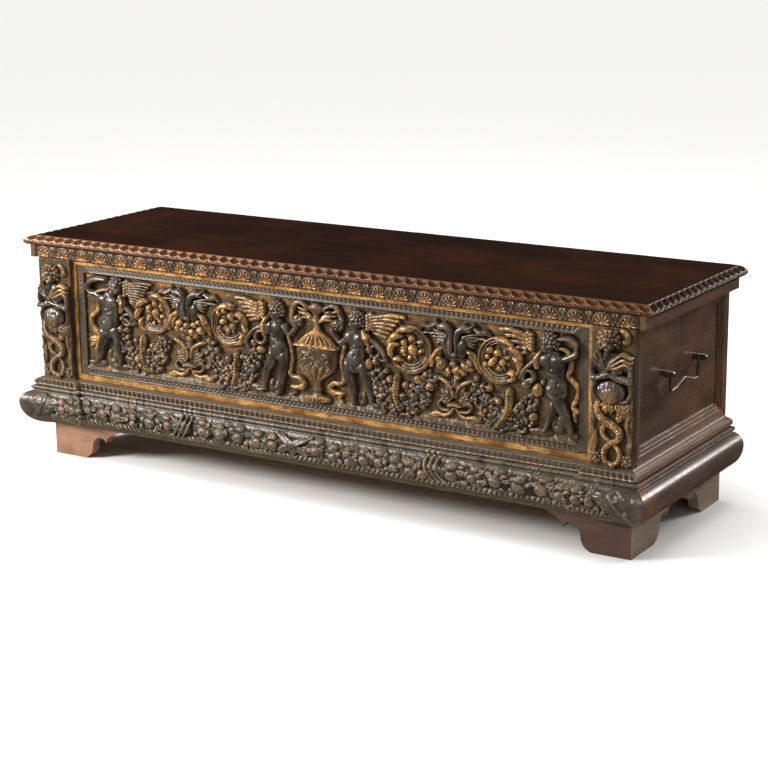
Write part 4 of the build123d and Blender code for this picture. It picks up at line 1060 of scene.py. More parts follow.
def carveField():
    # everything pressed into the field, from the ground upwards
    x0, x1 = span("frame_strip_left")[1][0], span("frame_strip_right")[0][0]
    z0, z1 = span("frame_strip_bottom")[1][2], span("frame_strip_top")[0][2]
    c = Carving(spaced(x0, x1, fieldSet["step"]), spaced(z0, z1, fieldSet["step"]), fieldSet["step"])
    above = np.clip((c.Z - z0) / fieldSet["ledgeRise"], 0, 1)
    c.h = fieldSet["ledgeDepth"] * (1 - above) ** 1.6
    rocks(c)
    for look in wings:
        wing(c, look)
    for look in swags:
        swag(c, look)
    birds(c, -351, cupLeft)
    birds(c, 357, cupRight)
    for look in roundels:
        roundel(c, look)
    urn(c)
    ribbons(c)
    for look in (puttoOuterLeft, puttoInnerLeft, puttoInnerRight, puttoOuterRight):
        putto(c, look)
    armlets(c)
    tools = mottle(c.h.shape, 51, 2) * fieldSet["tooling"] * (1 - 0.8 * np.clip(c.polish, 0, 1))
    c.h = np.maximum(c.h + tools + fieldSet["ledgeRough"] * mottle(c.h.shape, 52, 6) * (1 - above), 0)
    values = c.finish()
    # the flat ground keeps a little gilding, most along the top, and is darker below the top edge
    flat = np.clip(1 - c.h / fieldSet["groundRelief"], 0, 1)
    glow = fieldSet["groundGlow"] + fieldSet["upperGlow"] * np.clip((c.Z - fieldSet["upperEdge"]) / 8.0, 0, 1)
    values["gild"] = np.maximum(values["gild"], flat * glow)
    dull = fieldSet["groundDarkening"] * (c.Z < fieldSet["upperEdge"] + 2.0)
    values["hollow"] = np.maximum(values["hollow"], flat * dull)
    return c, values


def buildField():
    # the carved skin in a few patches, and the plank behind it with a flat rim, a sunk seat for the skin and
    # rebated ends
    c, values = carveField()
    low, high = span("front_board")
    faceY = high[1] - fieldSet["ground"]
    seatY = faceY + fieldSet["thick"]
    cuts = np.linspace(0, len(c.x) - 1, fieldSet["patches"] + 1).astype(int)
    for k, (a, b) in enumerate(zip(cuts[:-1], cuts[1:])):
        part = slice(a, b + 1)
        closedRun(f"carved_field_{k + 1}", slabGrid(c.X[:, part], faceY - c.h[:, part], c.Z[:, part], seatY),
                  carvedPart(carvedMaterial), padValues({key: data[:, part] for key, data in values.items()}))

    def corners(x0, x1, z0, z1):
        return [(x0, z0), (x1, z0), (x1, z1), (x0, z1)]

    outer = corners(low[0], high[0], low[2], high[2])
    inner = corners(c.x[0], c.x[-1], c.z[0], c.z[-1])
    back = corners(low[0] + fieldSet["rebate"], high[0] - fieldSet["rebate"], low[2], high[2])
    lapY = faceY + fieldSet["lap"]
    rings = ((outer, faceY), (inner, faceY), (inner, seatY), (outer, lapY), (back, lapY), (back, high[1]))
    points = [toFrame(x, y, z) for ring, y in rings for x, z in ring]
    quads = [(a + k, a + (k + 1) % 4, b + (k + 1) % 4, b + k) for a, b in ((0, 4), (4, 8)) for k in range(4)]
    quads += [(8, 9, 10, 11), (0, 3, 15, 12), (1, 13, 14, 2), (12, 15, 19, 16), (17, 18, 14, 13),
              (16, 20, 21, 17), (19, 18, 22, 23), (16, 19, 23, 20), (17, 21, 22, 18), (20, 23, 22, 21)]
    edges = [(0, 12, 16, 17, 13, 1), (3, 2, 14, 18, 19, 15)]
    meshPiece("front_plank", points, [np.array(quads), np.array(edges)], carvedPart(innerWood, "front_board"),
              smoothSets=())
    print("front field carved")


buildField()


# mouldings: a profile carried along a path, with the carving pressed along the profile's normal

def profileLine(points, step, soften=1):
    # even steps along a profile of (outward, height) points from top to bottom, with outward normals
    p = np.array(points, float)
    far = np.concatenate([[0], np.cumsum(np.hypot(*np.diff(p, axis=0).T))])
    t = np.linspace(0, far[-1], int(round(far[-1] / step)) + 1)
    line = np.stack([np.interp(t, far, p[:, 0]), np.interp(t, far, p[:, 1])], -1)
    for _ in range(soften):
        line[1:-1] = 0.25 * line[:-2] + 0.5 * line[1:-1] + 0.25 * line[2:]
    tangent = np.gradient(line, axis=0)
    tangent /= np.linalg.norm(tangent, axis=1)[:, None]
    return line, np.stack([-tangent[:, 1], tangent[:, 0]], -1)


def arcPoints(cx, cz, rx, rz, start, end, count):
    # points round part of an ellipse, angles in degrees
    a = np.radians(np.linspace(start, end, count))
    return list(zip(cx + rx * np.cos(a), cz + rz * np.sin(a)))


def frontRun(half, face, widest, breakX=None, breakFace=None):
    # plan of a front moulding mitred at both ends; X is measured at the widest offset, and between the
    # breaks the face stands further back
    def place(X, o):
        # o is how far a point stands out
        if breakX is None:
            return X * (half + o) / (half + widest), face - o
        inner = breakX - widest
        share = np.clip((np.abs(X) - inner) / (half + widest - inner), 0, 1)
        outside = (breakX - o) + share * (half - breakX + 2 * o)
        x = np.where(np.abs(X) > inner + 1e-6, np.sign(X) * outside, X * (breakX - o) / inner)
        return x, np.where(np.abs(X) > inner + 1e-6, breakFace, face) - o

    return place


def sideRun(way, half, face, widest, end):
    # plan of a side moulding from its front mitre back to a square end
    def place(X, o):
        y = (face - o) + (X - face + widest) / (end - face + widest) * (end - face + o)
        return way * (half + o) + 0.0 * X, y

    return place


def plainRows(points, width):
    # rows without carving: outward and height values of (outward, height) points, repeated across
    p = np.array(points, float).reshape(-1, 2, 1)
    return [np.repeat(p[:, i], width, 1) for i in (0, 1)]


def moulding(name, c, line, normal, sink, place, before, after, look, values, cuts=()):
    # rows: plain points above, the face pushed out along its normals by the carving less what it is sunk by,
    # plain points below and behind; cuts are the columns where the run is split into pieces
    width = len(c.x)
    rows = zip(plainRows(before, width), (line[:, :1], line[:, 1:]), (normal[:, :1], normal[:, 1:]),
               plainRows(after, width))
    outward, z = [np.concatenate([top, face + way * (c.h - sink), low]) for top, face, way, low in rows]
    x, y = place(c.X[:1], outward)
    grid = toFrame(x, y, z)
    filled = padValues(values, len(before), len(after))
    edges = [0, *cuts, width - 1]
    for k, (a, b) in enumerate(zip(edges[:-1], edges[1:])):
        part = slice(a, b + 1)
        label = f"{name}_{k + 1}" if cuts else name
        closedRun(label, grid[:, part], look, {key: data[:, part] for key, data in filled.items()})


def fadeIn(count, first, last):
    # 0 at both ends of a run of rows, 1 between, over so many rows at the start and at the end
    rows = np.arange(count)
    return np.clip(rows / first, 0, 1) * np.clip((count - 1 - rows) / last, 0, 1)


def scoops(c, look, phase=0.0):
    # U-shaped hollows side by side, each with a raised lip round its lower end and a dart between the lips;
    # gives back how deep each spot is and the crescent on the lip where a highlight is painted
    pitch, half = look["pitch"], look["half"]
    u = np.mod(c.X - phase + pitch / 2, pitch) - pitch / 2
    down = np.clip(c.Z - look["turnAt"], 0, None) / look["reach"]
    rho = np.sqrt((u / half) ** 2 + down ** 2)
    begin = np.clip((c.Z - look["top"]) / look["fade"], 0, 1)
    hollow = look["depth"] * np.sqrt(np.clip(1 - rho ** 2, 0, 1)) * begin
    lip = np.exp(-((rho - 1.0 - look["lip"] / half) / (look["lip"] / half)) ** 2)
    dart = np.exp(-((np.abs(u) - pitch / 2) / look["dart"]) ** 2) * 0.8
    c.h = look["level"] * (np.maximum(lip, dart) * begin) - hollow
    c.h = np.where(c.Z < look["top"], look["level"] * 0.9, c.h)
    highlightCrescent = np.exp(-((rho - 0.92) / look["edge"]) ** 2) * np.clip(look["side"] + down / 0.45, 0, 1) * begin
    return np.clip(hollow / look["depth"], 0, 1), highlightCrescent


# the lips' crescents carry a painted highlight that fades along the run, and the scoops and the nose's
# underside carry painted shade
gadroonSet = dict(half=12.9, turnAt=18.4, reach=8.8, top=0.6, fade=5.0, depth=7.0, lip=1.2, dart=1.4,
                  level=1.6, edge=0.21, side=-0.12, shade=0.85, ends=(1.0, 0.80, 0.32, 0.15), falloffShade=0.38,
                  step=0.95, tip=11.0, frieze=18.7, nose=526.0, hang=3.0, line=30.2, shadeFrom=36.5,
                  along=400.0, front=57, sides=17)


def lidEdge():
    # the lid's edge: a shallow arc from the top out to the nose, then the scooped face back to the frieze,
    # with a cut line above its lower lip
    low, high = span("lid_gadroon_front")
    reach, top, bottom = -low[1], high[2], low[2]
    half = span("lid_board_front")[1][0]
    end = span("lid_gadroon_right")[1][1]
    radius = (reach ** 2 + gadroonSet["tip"] ** 2) / (2 * gadroonSet["tip"])
    sweep = math.degrees(math.asin(reach / radius))
    arc = arcPoints(0, top - radius, radius, radius, 90, 90 - sweep, 12)
    under = (gadroonSet["frieze"] + 0.3, bottom - gadroonSet["hang"])
    line, normal = profileLine(arc + [(reach, gadroonSet["nose"]), under], gadroonSet["step"], 2)
    deep = len(line)
    fade = fadeIn(deep, 3.0, 3.0)[:, None]

    def carve(x0, x1, pitch, phase):
        # the gadroons of one side and their attributes
        step = gadroonSet["step"]
        c = Carving(spaced(x0, x1, step), np.linspace(0, step * (deep - 1), deep), step)
        cut, highlightCrescent = scoops(c, dict(gadroonSet, pitch=pitch), phase)
        c.h = (c.h - 1.5 * np.exp(-((c.Z - gadroonSet["line"]) / 1.2) ** 2)) * fade
        values = c.finish(0)
        # painted shade: dark under the nose and along the cut line, and in the scoops
        shade = np.clip((c.Z - gadroonSet["shadeFrom"]) / 1.2, 0, 1) + \
            0.8 * np.exp(-((c.Z - gadroonSet["line"]) / 1.0) ** 2)
        # the lips' crescents are a painted highlight, brightest towards the left end and on the sides and
        # fading to the right, where a painted falloff shade darkens them
        rubbed = np.interp(c.X + gadroonSet["along"] * (x0 > -100), (-800, -300, 200, 800),
                           gadroonSet["ends"])
        falloffShade = gadroonSet["falloffShade"] * (1 - rubbed)
        values["hollow"] = np.clip(gadroonSet["shade"] * cut * (1 - highlightCrescent) + shade + falloffShade, 0, 1)
        values["gild"] = values["proud"] = highlightCrescent * rubbed
        values["polish"] = highlightCrescent
        return c, values

    def run(side, c, values, place, material):
        # the moulding of one side, from the frieze up to the top
        moulding(f"gadroons_{side}", c, line, normal, gadroonSet["level"] * fade, place, [],
                 [(gadroonSet["frieze"] + 0.1, bottom), (0, bottom)],
                 carvedPart(material, f"lid_gadroon_{side}", body="lid", slot="edge_walnut"), values)

    c, values = carve(-half - reach, half + reach, 2 * (half + reach) / gadroonSet["front"], 0.0)
    run("front", c, values, frontRun(half, 0.0, reach), edgeMaterial)
    pitch = (end + reach) / gadroonSet["sides"]
    for way, side in ((-1, "left"), (1, "right")):
        c, values = carve(-reach, end, pitch, -reach + pitch / 2)
        run(side, c, values, sideRun(way, half, 0.0, reach, end), edgeSideMaterial)
    print("gadroons carved")


friezeSet = dict(pitch=59.1, depth=4.0, step=0.8, recess=0.85, gildAtRightEnd=0.6, block=14, corner=3)


def shellFrieze():
    # seven gilt petals fanned from a boss under a double arch, and a dark leaf dart between two shells
    low, high = span("lid_frieze_front")
    step, depth, pitch = friezeSet["step"], friezeSet["depth"], friezeSet["pitch"]
    c = Carving(spaced(low[0], high[0], step), spaced(low[2], high[2], step), step)
    foot = low[2] + 3.4
    for k in range(-13, 14):
        x = pitch * k

        def ray(reach, turn, squash=1.0):
            # a point at an angle and a distance from the shell's foot
            a = math.radians(turn)
            return x + reach * math.cos(a), foot + squash * reach * math.sin(a)

        for reach, half, gild in ((22.5, 1.5, 0.2), (19.2, 1.0, 0.0)):
            arch = [ray(reach, turn, 1.04) for turn in np.linspace(-2, 182, 9)]
            c.strand(arch, half, 2.3, 0.4, gild, 0.4, 0.2, steps=3)
        for petal in range(7):
            turn = 3 + 174 * petal / 6.0
            length = 14.5 + 2.0 * math.sin(math.radians(turn)) + 0.7 * math.sin(5 * k + 3 * petal)
            c.strand([ray(5.5, turn), ray(length, turn)], (1.5, 3.0), (2.4, 4.4), 0.2, 0.9, 0.3, 0.1, steps=1)
        c.dome(x, foot + 0.3, 5.0, 4.0, 3.0, 1.2, 0, 0.9, 0.2, 0.2)
        c.dome(x, foot + 0.3, 2.0, 1.6, -1.6, 3.6, 0, 0.2, 0.2, 0.2)
    for k in range(-13, 13):
        x = pitch * (k + 0.5)
        c.leaf(x, high[2] - 4.6, 25, 4.4, -90, 3.4, 0.4, 0.08, 0.5, 0.2, 1.8)
        for way in (-1, 1):
            c.leaf(x + way * 1.5, high[2] - 5.4, 12, 2.6, -90 + way * 38, 3.0, 0.5, 0.3, 0.4, 0.2, 0.8)
            c.strand([(x + way * 5, low[2] + 2), (x + way * 3.5, low[2] + 9)], (1.8, 0.9), 2.4, 0.5, 0.3, 0.4,
                     0.2)

    def flush(margin):
        # 1 over the plain blocks at both ends
        return np.clip((np.abs(c.X) - (high[0] - margin)) / 2.0, 0, 1)

    block = flush(friezeSet["block"])
    c.h = np.minimum(np.maximum(c.h, depth * block), depth)
    values = c.finish(0)
    # darker on the sunk ground, and a painted shadow along the bottom edge where the lid meets the chest
    deep = np.maximum(np.clip(1 - c.h, 0, 1) * (1 - block), np.clip(low[2] + 2.0 - c.Z, 0, 1))
    # the gilding thins out towards the right end
    values["gild"] = values["gild"] * np.interp(c.X, (-500, 700), (1.0, friezeSet["gildAtRightEnd"]))
    values["hollow"] = np.clip(np.maximum(values["hollow"], deep * friezeSet["recess"]), 0, 1)
    corner = flush(friezeSet["corner"])
    c.h = c.h * (1 - corner) + depth * corner
    # the back is shorter than the face, by the mitres
    grid = slabGrid(c.X, low[1] + depth - c.h, c.Z, high[1])
    grid[[0, -1], :, 0] = c.X[0] * -span("lid_frieze_left")[1][0] / high[0] / 1000.0
    closedRun("shell_frieze", grid, carvedPart(friezeMaterial, "lid_frieze_front", body="lid"),
              padValues(values))
    print("frieze carved")


stripSet = dict(step=0.8, pitch=12.0, depth=2.3)


def frameStrips():
    # a slanting rope of small leaves in a hollow between two plain fillets, mitred at the corners
    (x0, front, z0), (x1, back, z1) = span("frame_strip_left")[0], span("frame_strip_right")[1]
    innerX = span("frame_strip_left")[1][0], span("frame_strip_right")[0][0]
    innerZ = span("frame_strip_bottom")[1][2], span("frame_strip_top")[0][2]
    turns = ((0, 0), (1, 0), (1, 1), (0, 1))
    outer = [np.array(((x0, x1)[i], (z0, z1)[j])) for i, j in turns]
    inner = [np.array((innerX[i], innerZ[j])) for i, j in turns]
    step, depth = stripSet["step"], stripSet["depth"]
    for k, (node, calm, lean) in enumerate((("bottom", 0.0, 1.0), ("right", 0.55, 1.0), ("top", 0.0, -1.0),
                                            ("left", 0.55, -1.0))):
        a, b, d, e = outer[k], outer[(k + 1) % 4], inner[k], inner[(k + 1) % 4]
        long = np.abs(b - a).max()
        wide = abs((d - a)[1 - k % 2])
        nu, nv = int(long / step), int(wide / step) + 1
        s = np.linspace(0, 1, nu)[None, :, None]
        t = np.linspace(0, 1, nv)[:, None, None]
        plan = (a * (1 - s) + b * s) * (1 - t) + (d * (1 - s) + e * s) * t
        along = np.linspace(0, long, nu)[None, :] + 0 * t[..., 0]
        across = wide * t[..., 0] + 0 * along
        mid = wide * 0.40
        u = np.mod(along - (across - mid) * lean * 0.9, stripSet["pitch"]) / stripSet["pitch"] - 0.5
        v = (across - mid) / (wide * 0.30)
        bead = np.sqrt(np.clip(1 - (u / 0.40) ** 2 - v ** 2, 0, 1))
        trough = np.clip(1 - (np.abs(across - mid) / (wide * 0.34)) ** 6, 0, 1)
        drop = depth * trough * (1 - 0.8 * bead * (1 - calm)) * (1 - 0.5 * calm)
        drop = drop + 1.2 * np.exp(-((across - wide * 0.80) / 0.9) ** 2)
        ends = np.clip(np.minimum(along - 20, long - 20 - along) / 6.0, 0, 1)
        drop = drop * ends
        # the trough is darkened as painted shade, and the beads' tops are lightened as wear and painted
        # highlight
        values = dict(gild=0 * drop, polish=0 * drop + 0.3,
                      proud=np.clip(bead * ends * (1 - calm), 0, 1) * 0.55,
                      hollow=np.clip(drop / depth - 0.25, 0, 1) * 0.8)
        closedRun(f"strip_{node}", slabGrid(plan[..., 0], front + drop, plan[..., 1], back),
                  carvedPart(stripMaterial, f"frame_strip_{node}"), padValues(values))
    print("strips carved")


# how the base is set out: how far its middle stands back between the pilasters, and where its back lies

baseSet = dict(jog=10.0, back=-9.0)


def baseFace(node, reach):
    # half the body's width, where the pilasters begin, and the y of the face behind a profile that stands out
    # by reach
    half, breakX = span("pilaster_right")[1][0], span("pilaster_right")[0][0]
    return half, breakX, span(node)[0][1] + reach + baseSet["jog"]


capSet = dict(pitch=14.2, half=6.0, turnAt=26.0, reach=7.6, top=12.0, fade=2.0, depth=3.0, lip=1.0, dart=0.8,
              level=1.3, edge=0.44, side=0.05, shade=0.7, band=0.42, step=0.8, nose=9.0, undercut=36.4,
              throat=11.0)


def baseCap():
    # a hollow slope down to a nose, scooped into tongues, over a cut line; plain at the ends and breaks
    low, high = span("base_cap_front")
    reach = high[0] - span("pilaster_right")[1][0]
    half, breakX, face = baseFace("base_cap_front", reach)
    top, bottom, nose, step, level = high[2], low[2], capSet["nose"], capSet["step"], capSet["level"]
    slope = [(0, top), (0.3 * reach, top - 0.42 * nose), (0.62 * reach, top - 0.55 * nose),
             (reach, top - nose), (reach, top - 2 * nose)]
    line, normal = profileLine(list(map(tuple, smoothPath(slope[:3], 6))) + slope[3:], step, 8)
    deep = len(line)
    c = Carving(spaced(-half - reach, half + reach, step * 1.15), np.linspace(0, step * (deep - 1), deep),
                step * 1.15)
    cut, highlightCrescent = scoops(c, capSet)
    below = c.Z - capSet["undercut"]
    c.h = np.where(below > -0.6, 0.0, c.h) - 2.6 * np.exp(-(below / 1.1) ** 2)
    c.h = np.where(below > 1.2, level, c.h)
    ends = np.clip((half + reach - 6 - np.abs(c.X)) / 3.0, 0, 1)
    breaks = np.clip((np.abs(np.abs(c.X) - (breakX - reach)) - 2) / 3.0, 0, 1)
    c.h = level + (c.h - level) * ends * breaks * fadeIn(deep, 2.0, 2.0)[:, None]
    values = c.finish(0)
    # painted shade in the tongues' hollows, the dark cut line and the plain band along the top; painted
    # highlight on the crescents and on the fillet below the cut
    grimeAndShade = np.maximum(capSet["shade"] * cut * (1 - highlightCrescent), np.exp(-(below / 2.0) ** 2))
    band = capSet["band"] * np.clip((capSet["top"] - c.Z) / 3.0, 0, 1)
    values["hollow"] = np.clip(grimeAndShade * ends + band, 0, 1)
    values["proud"] = np.maximum(highlightCrescent, 0.6 * (below > 1.5)) * ends
    moulding("cap_tongues", c, line, normal, level,
             frontRun(half, face, reach, breakX, face - baseSet["jog"]), [],
             [(capSet["throat"], bottom), (baseSet["back"], bottom), (baseSet["back"], top)],
             carvedPart(capMaterial, "base_cap_front", slot="edge_walnut"), values)
    print("base cap carved")


torusSet = dict(step=1.15, sink=9.0, rise=9.4, upper=26.0, widest=58.0, reach=46.0, lip=7.0, throat=11.0,
                neck=24.4, tooling=0.3, gain=1.9, shadeBelow=4.0, tie=-33)


# where each column of fruit hangs, and the heights of its fruit

fruitColumns = (
    (-700, (152, 130)), (-664, (160, 134)), (-622, (158, 140)), (-578, (158, 136)), (-533, (158, 132)),
    (-487, (165, 142, 122)), (-436, (164, 132)), (-384, (158, 134)), (-283, (160, 134)), (-233, (156, 132)),
    (-180, (160, 134)), (-130, (156, 130)), (-88, (154, 128)), (30, (160, 134)), (72, (152, 126)),
    (112, (164, 142, 122)), (152, (156, 130)), (190, (160, 134)), (228, (152, 126)), (268, (148, 122)),
    (372, (156, 130)), (424, (160, 134)), (480, (160, 134)), (532, (152, 126)), (584, (160, 134)),
    (630, (152, 126)), (668, (156, 130)), (706, (156, 130)))


def garlandFruit(c, at, end):
    # two rows of small leaves along the top, big leaves fanned away from the tie, fruit over them with
    # creases running from the tip, and small berries and loose leaves between
    rng = np.random.default_rng(41)
    for row, tall in ((171.0, 12.0), (165.0, 17.0)):
        for x in np.arange(-end + 60, end - 55, 12.0):
            c.leaf(x + rng.uniform(-2, 2), at(row) + 9, tall, 6.0, -90 + rng.uniform(-22, 22), 3.0, 0.4, 0.0,
                   0.3, 0.3, 1.4)
    for x, heights in fruitColumns:
        out = 1 if x > torusSet["tie"] else -1
        for k in range(3):
            z = at(168 - 21 * k + rng.uniform(-3, 3))
            for lean in (-38, 24):
                angle = lean + rng.uniform(-9, 9)
                c.leaf(x - out * 12, z, rng.uniform(38, 44), rng.uniform(9, 12),
                       angle if out > 0 else 180 - angle, 5.2, 0.4, 0.0, 0.4, 0.3, 2.6, 2, 1.8)
    for x, heights in fruitColumns:
        for z in heights:
            size = rng.uniform(10.5, 12.0) if len(heights) > 2 else rng.uniform(12.5, 14.5)
            px = x + rng.uniform(-3, 3)
            c.berry(px, at(z), size, size * rng.uniform(0.9, 1.1), 0.3, rng.uniform(0.0, 0.35), 0.15, 0.0,
                    2.6, torusSet["rise"])
            for k in range(5):
                a = 1.257 * k + rng.uniform(0, 1)
                c.groove([(px + far * math.cos(a), at(z) + far * math.sin(a)) for far in (2, 0.8 * size)],
                         1.1, 0.9, 1)
        for way in (-1, 1):
            if rng.random() > 0.45:
                c.berry(x + way * rng.uniform(15, 19), at(rng.uniform(118, 158)), 5.5, 5.5, 1.5, 0.3, 0.3,
                        0.0, 0.8, 6.5)
        for _ in range(6):
            c.leaf(x + rng.uniform(-26, 26), at(rng.uniform(114, 164)), rng.uniform(18, 26),
                   rng.uniform(6.0, 8.5), rng.uniform(0, 360), 4.6, 3.2, 0.0, 0.5, 0.2, 2.4, 2, 1.6)
    for x, z in ((300, 122), (790, 116)):
        c.berry(x, at(z), 13, 12, 0.5, 0.45, 0.2, 0.0, 1.4, torusSet["rise"])


def garlandTies(c, at):
    # two broad leaves, each bound on with three slanting cords, and in the middle a knot of crossed cords
    # with a hanging leaf
    for x, way in ((-338, 1), (326, -1)):
        c.leaf(x + way * 22, at(140), 62, 20, 172 if way > 0 else 8, 5.5, 1.0, 0.0, 0.5, 0.4, 2.4, 0, 1.4)
        for shift in (-14, 0, 14):
            c.strand([(x - way * 16 + shift, at(112)), (x + shift, at(138)), (x + way * 16 + shift, at(166))],
                     (2.6, 3.4, 2.6), 4.5, 4.4, 0.05, 0.6, 0.3, steps=4)
    tie = torusSet["tie"]
    for way in (-1, 1):
        for shift in (-6, 0, 6):
            c.strand([(tie + way * 46, at(163) + 2 + shift * 0.4), (tie + way * 20, at(152) + shift),
                      (tie - way * 8, at(138) + shift)], 3.3, 4.5, 5.0, 0.08, 0.8, 0.4, steps=4)
        c.leaf(tie + way * 4, at(138), 44, 10, 154 if way < 0 else 26, 5, 3, 0.0, 0.4, 0.6, 1.4)
    c.dome(tie, at(142), 9, 8, 6, 6, 0, 0.0, 0.6, 0.6)
    c.leaf(tie, at(146), 34, 17, 90, 6, 3, 0.0, 0.4, 0.6, 1.6, 2)


def garlandCorners(c, at):
    # a swelling at each end with leaves running in from it, a scroll and a curled edge
    for way in (-1, 1):
        c.dome(way * 795, at(140), 74, 44, 6.5, 1.5, 0, 0.0, 0.75, 1.5, 0.3)
        for x, z, length, wide, turn in ((752, 152, 52, 15, 178), (758, 134, 50, 13, 192),
                                         (765, 118, 46, 12, 205), (775, 160, 40, 10, 165)):
            c.leaf(way * x, at(z), length, wide, turn if way > 0 else 180 - turn, 6, 3.5, 0.02, 0.6, 0.6, 1.5,
                   2)
        c.strand([(way * x, at(z)) for x, z in ((786, 150), (770, 162), (752, 155), (758, 142), (772, 144))],
                 (4, 5, 4, 3), (5, 6, 5, 3), 7, 0.35 if way > 0 else 0.1, 0.6, 0.5)
        c.strand([(way * x, at(z)) for x, z in ((800, 104), (776, 118), (760, 136))], (5, 6, 4), (4, 5, 4),
                 6.0, 0.1, 0.7, 0.6)


def beadRope(c, at):
    # a rope of slanting beads on a low band along the foot, leaning away from the tie
    away = c.Z - at(106)
    along = np.mod(c.X + np.sign(c.X - torusSet["tie"]) * away * 0.8, 12.5) / 12.5 - 0.5
    v = away / 8.5
    bead = 4.4 * np.sqrt(np.clip(1 - (along / 0.44) ** 2 - v ** 2, 0, 1))
    c.h = np.maximum(c.h, np.where(np.abs(c.X) < 740, bead + 2.0 * (np.abs(v) < 1), c.h))


def garland():
    # a bundle of fruit and leaves lying along the big round moulding
    low, high = span("base_torus_front")
    reach, upper, lip, widest, sink = [torusSet[key] for key in ("reach", "upper", "lip", "widest", "sink")]
    half, breakX, face = baseFace("base_torus_front", reach)
    top, bottom = high[2], low[2]
    shoulder = reach - upper
    arcs = arcPoints(shoulder, bottom + widest, upper, upper, 90, 0, 24)
    arcs += arcPoints(-lip, bottom + widest, reach + lip, widest, 0, -90, 40)
    line, normal = profileLine(arcs, torusSet["step"])
    deep = len(line)
    far = np.arange(deep) * torusSet["step"]
    c = Carving(spaced(-half - reach, half + reach, torusSet["step"]), far, torusSet["step"])

    def at(z):
        # how far along the profile a height lies
        return float(np.interp(-z, -line[:, 1], far))

    garlandFruit(c, at, half + reach)
    garlandTies(c, at)
    garlandCorners(c, at)
    beadRope(c, at)
    c.h = blur(c.h + torusSet["tooling"] * mottle(c.h.shape, 53, 2), 1)
    c.h = np.clip(c.h, 0, sink + 0.8)
    # full height at the ends, and half way up to it at the breaks
    ends = np.clip((np.abs(c.X) - (half + reach - 26)) / 22.0, 0, 1)
    breaks = np.clip(1 - np.abs(np.abs(c.X) - (breakX - reach)) / 2.0, 0, 1) * 0.5
    c.h = c.h * (1 - ends) * (1 - breaks) + sink * (ends + (1 - ends) * breaks)
    values = c.finish(0, torusSet["gain"])
    # painted shade in the deepest spots of the bundle
    bundle = (np.abs(c.X) < 745) * (c.Z > at(168)) * (c.Z < at(98))
    deepest = np.clip(1 - c.h / torusSet["shadeBelow"], 0, 1) * bundle
    values["hollow"] = np.maximum(values["hollow"], 0.85 * deepest * (1 - ends))
    fade = fadeIn(deep, 7.0, 14.0)
    fade = (fade * fade * (3 - 2 * fade))[:, None]
    c.h = c.h * fade
    joint = np.abs(c.x + (breakX - reach)).argmin()
    back, throat, neck = baseSet["back"], torusSet["throat"], torusSet["neck"]
    moulding("garland", c, line, normal, sink * fade,
             frontRun(half, face, reach, breakX, face - baseSet["jog"]),
             [(back, top), (throat, top), (neck, top - 2), (neck, top - 8), (shoulder, top - 10)],
             [(back, bottom)], carvedPart(baseMaterial, "base_torus_front"), values,
             [joint, len(c.x) // 2, len(c.x) - 1 - joint])
    print("garland carved")


# herm figures on the pilasters

hermSet = dict(step=0.9, rise=22.0, tooling=0.3, groundDarkening=0.3, groundRelief=2.5, waist=345.0, edge=2.5)


def hermSides(c):
    # tall leaves, a drapery fold and a rosette on either side
    for way in (-1, 1):
        for k in range(6):
            x = way * (44 - 2 * (k % 2))
            z = 208 + 24 * k
            c.leaf(x, z, 34, 7, 90 + way * (14 - 5 * k), 7, 1.0, 0.25 + 0.3 * (k % 3 == 1), 0.3, 0.3, 2.2, 2)
    c.leaf(-40, 232, 46, 8, 84, 7, 2, 0.4, 0.2, 0.3, 2.0)
    c.strand([(46, 345), (41, 320), (35, 294), (42, 262), (45, 242), (38, 234)], (4, 5, 5, 5, 3),
             (8, 9, 8, 6), 2.5, 0.5, 0.3, 0.3, ribs=1, ribDepth=2.4)
    for x in (-33, 34):
        for k in range(7):
            a = math.radians(51.4 * k + 20)
            c.berry(x + 8.5 * math.cos(a), 217 + 8.5 * math.sin(a), 4.6, 4.0, 3.5, 0.15, 0.6, math.degrees(a),
                    0.8)
        c.berry(x, 217, 4.0, 4.0, 7, 0.3, 0.5, 0, 1.4)


def hermBust(c):
    # chest, shoulders, upper arms and neck
    for x, z, rx, rz, rise, base in ((-6, 416, 38, 27, 13, 2), (-33, 420, 14, 17, 11, 5),
                                     (33, 420, 14, 17, 11, 5)):
        c.dome(x, z, rx, rz, rise, base, 0, 0.0, 1.0, 1.5)
    c.strand([(38, 424), (43, 405), (41, 388)], (9, 8, 6), (11, 12, 11), 4, 0.0, 1.0, 1.0)
    c.strand([(-38, 424), (-42, 405), (-38, 390)], (8, 8, 6), (11, 12, 11), 4, 0.0, 1.0, 1.0)
    c.dome(14, 407, 13, 10, 5, 13, 0, 0.0, 1.0, 1.5)
    c.strand([(-9, 444), (-9, 430)], (9, 12), 12, 4, 0.0, 1.0, 2.0)


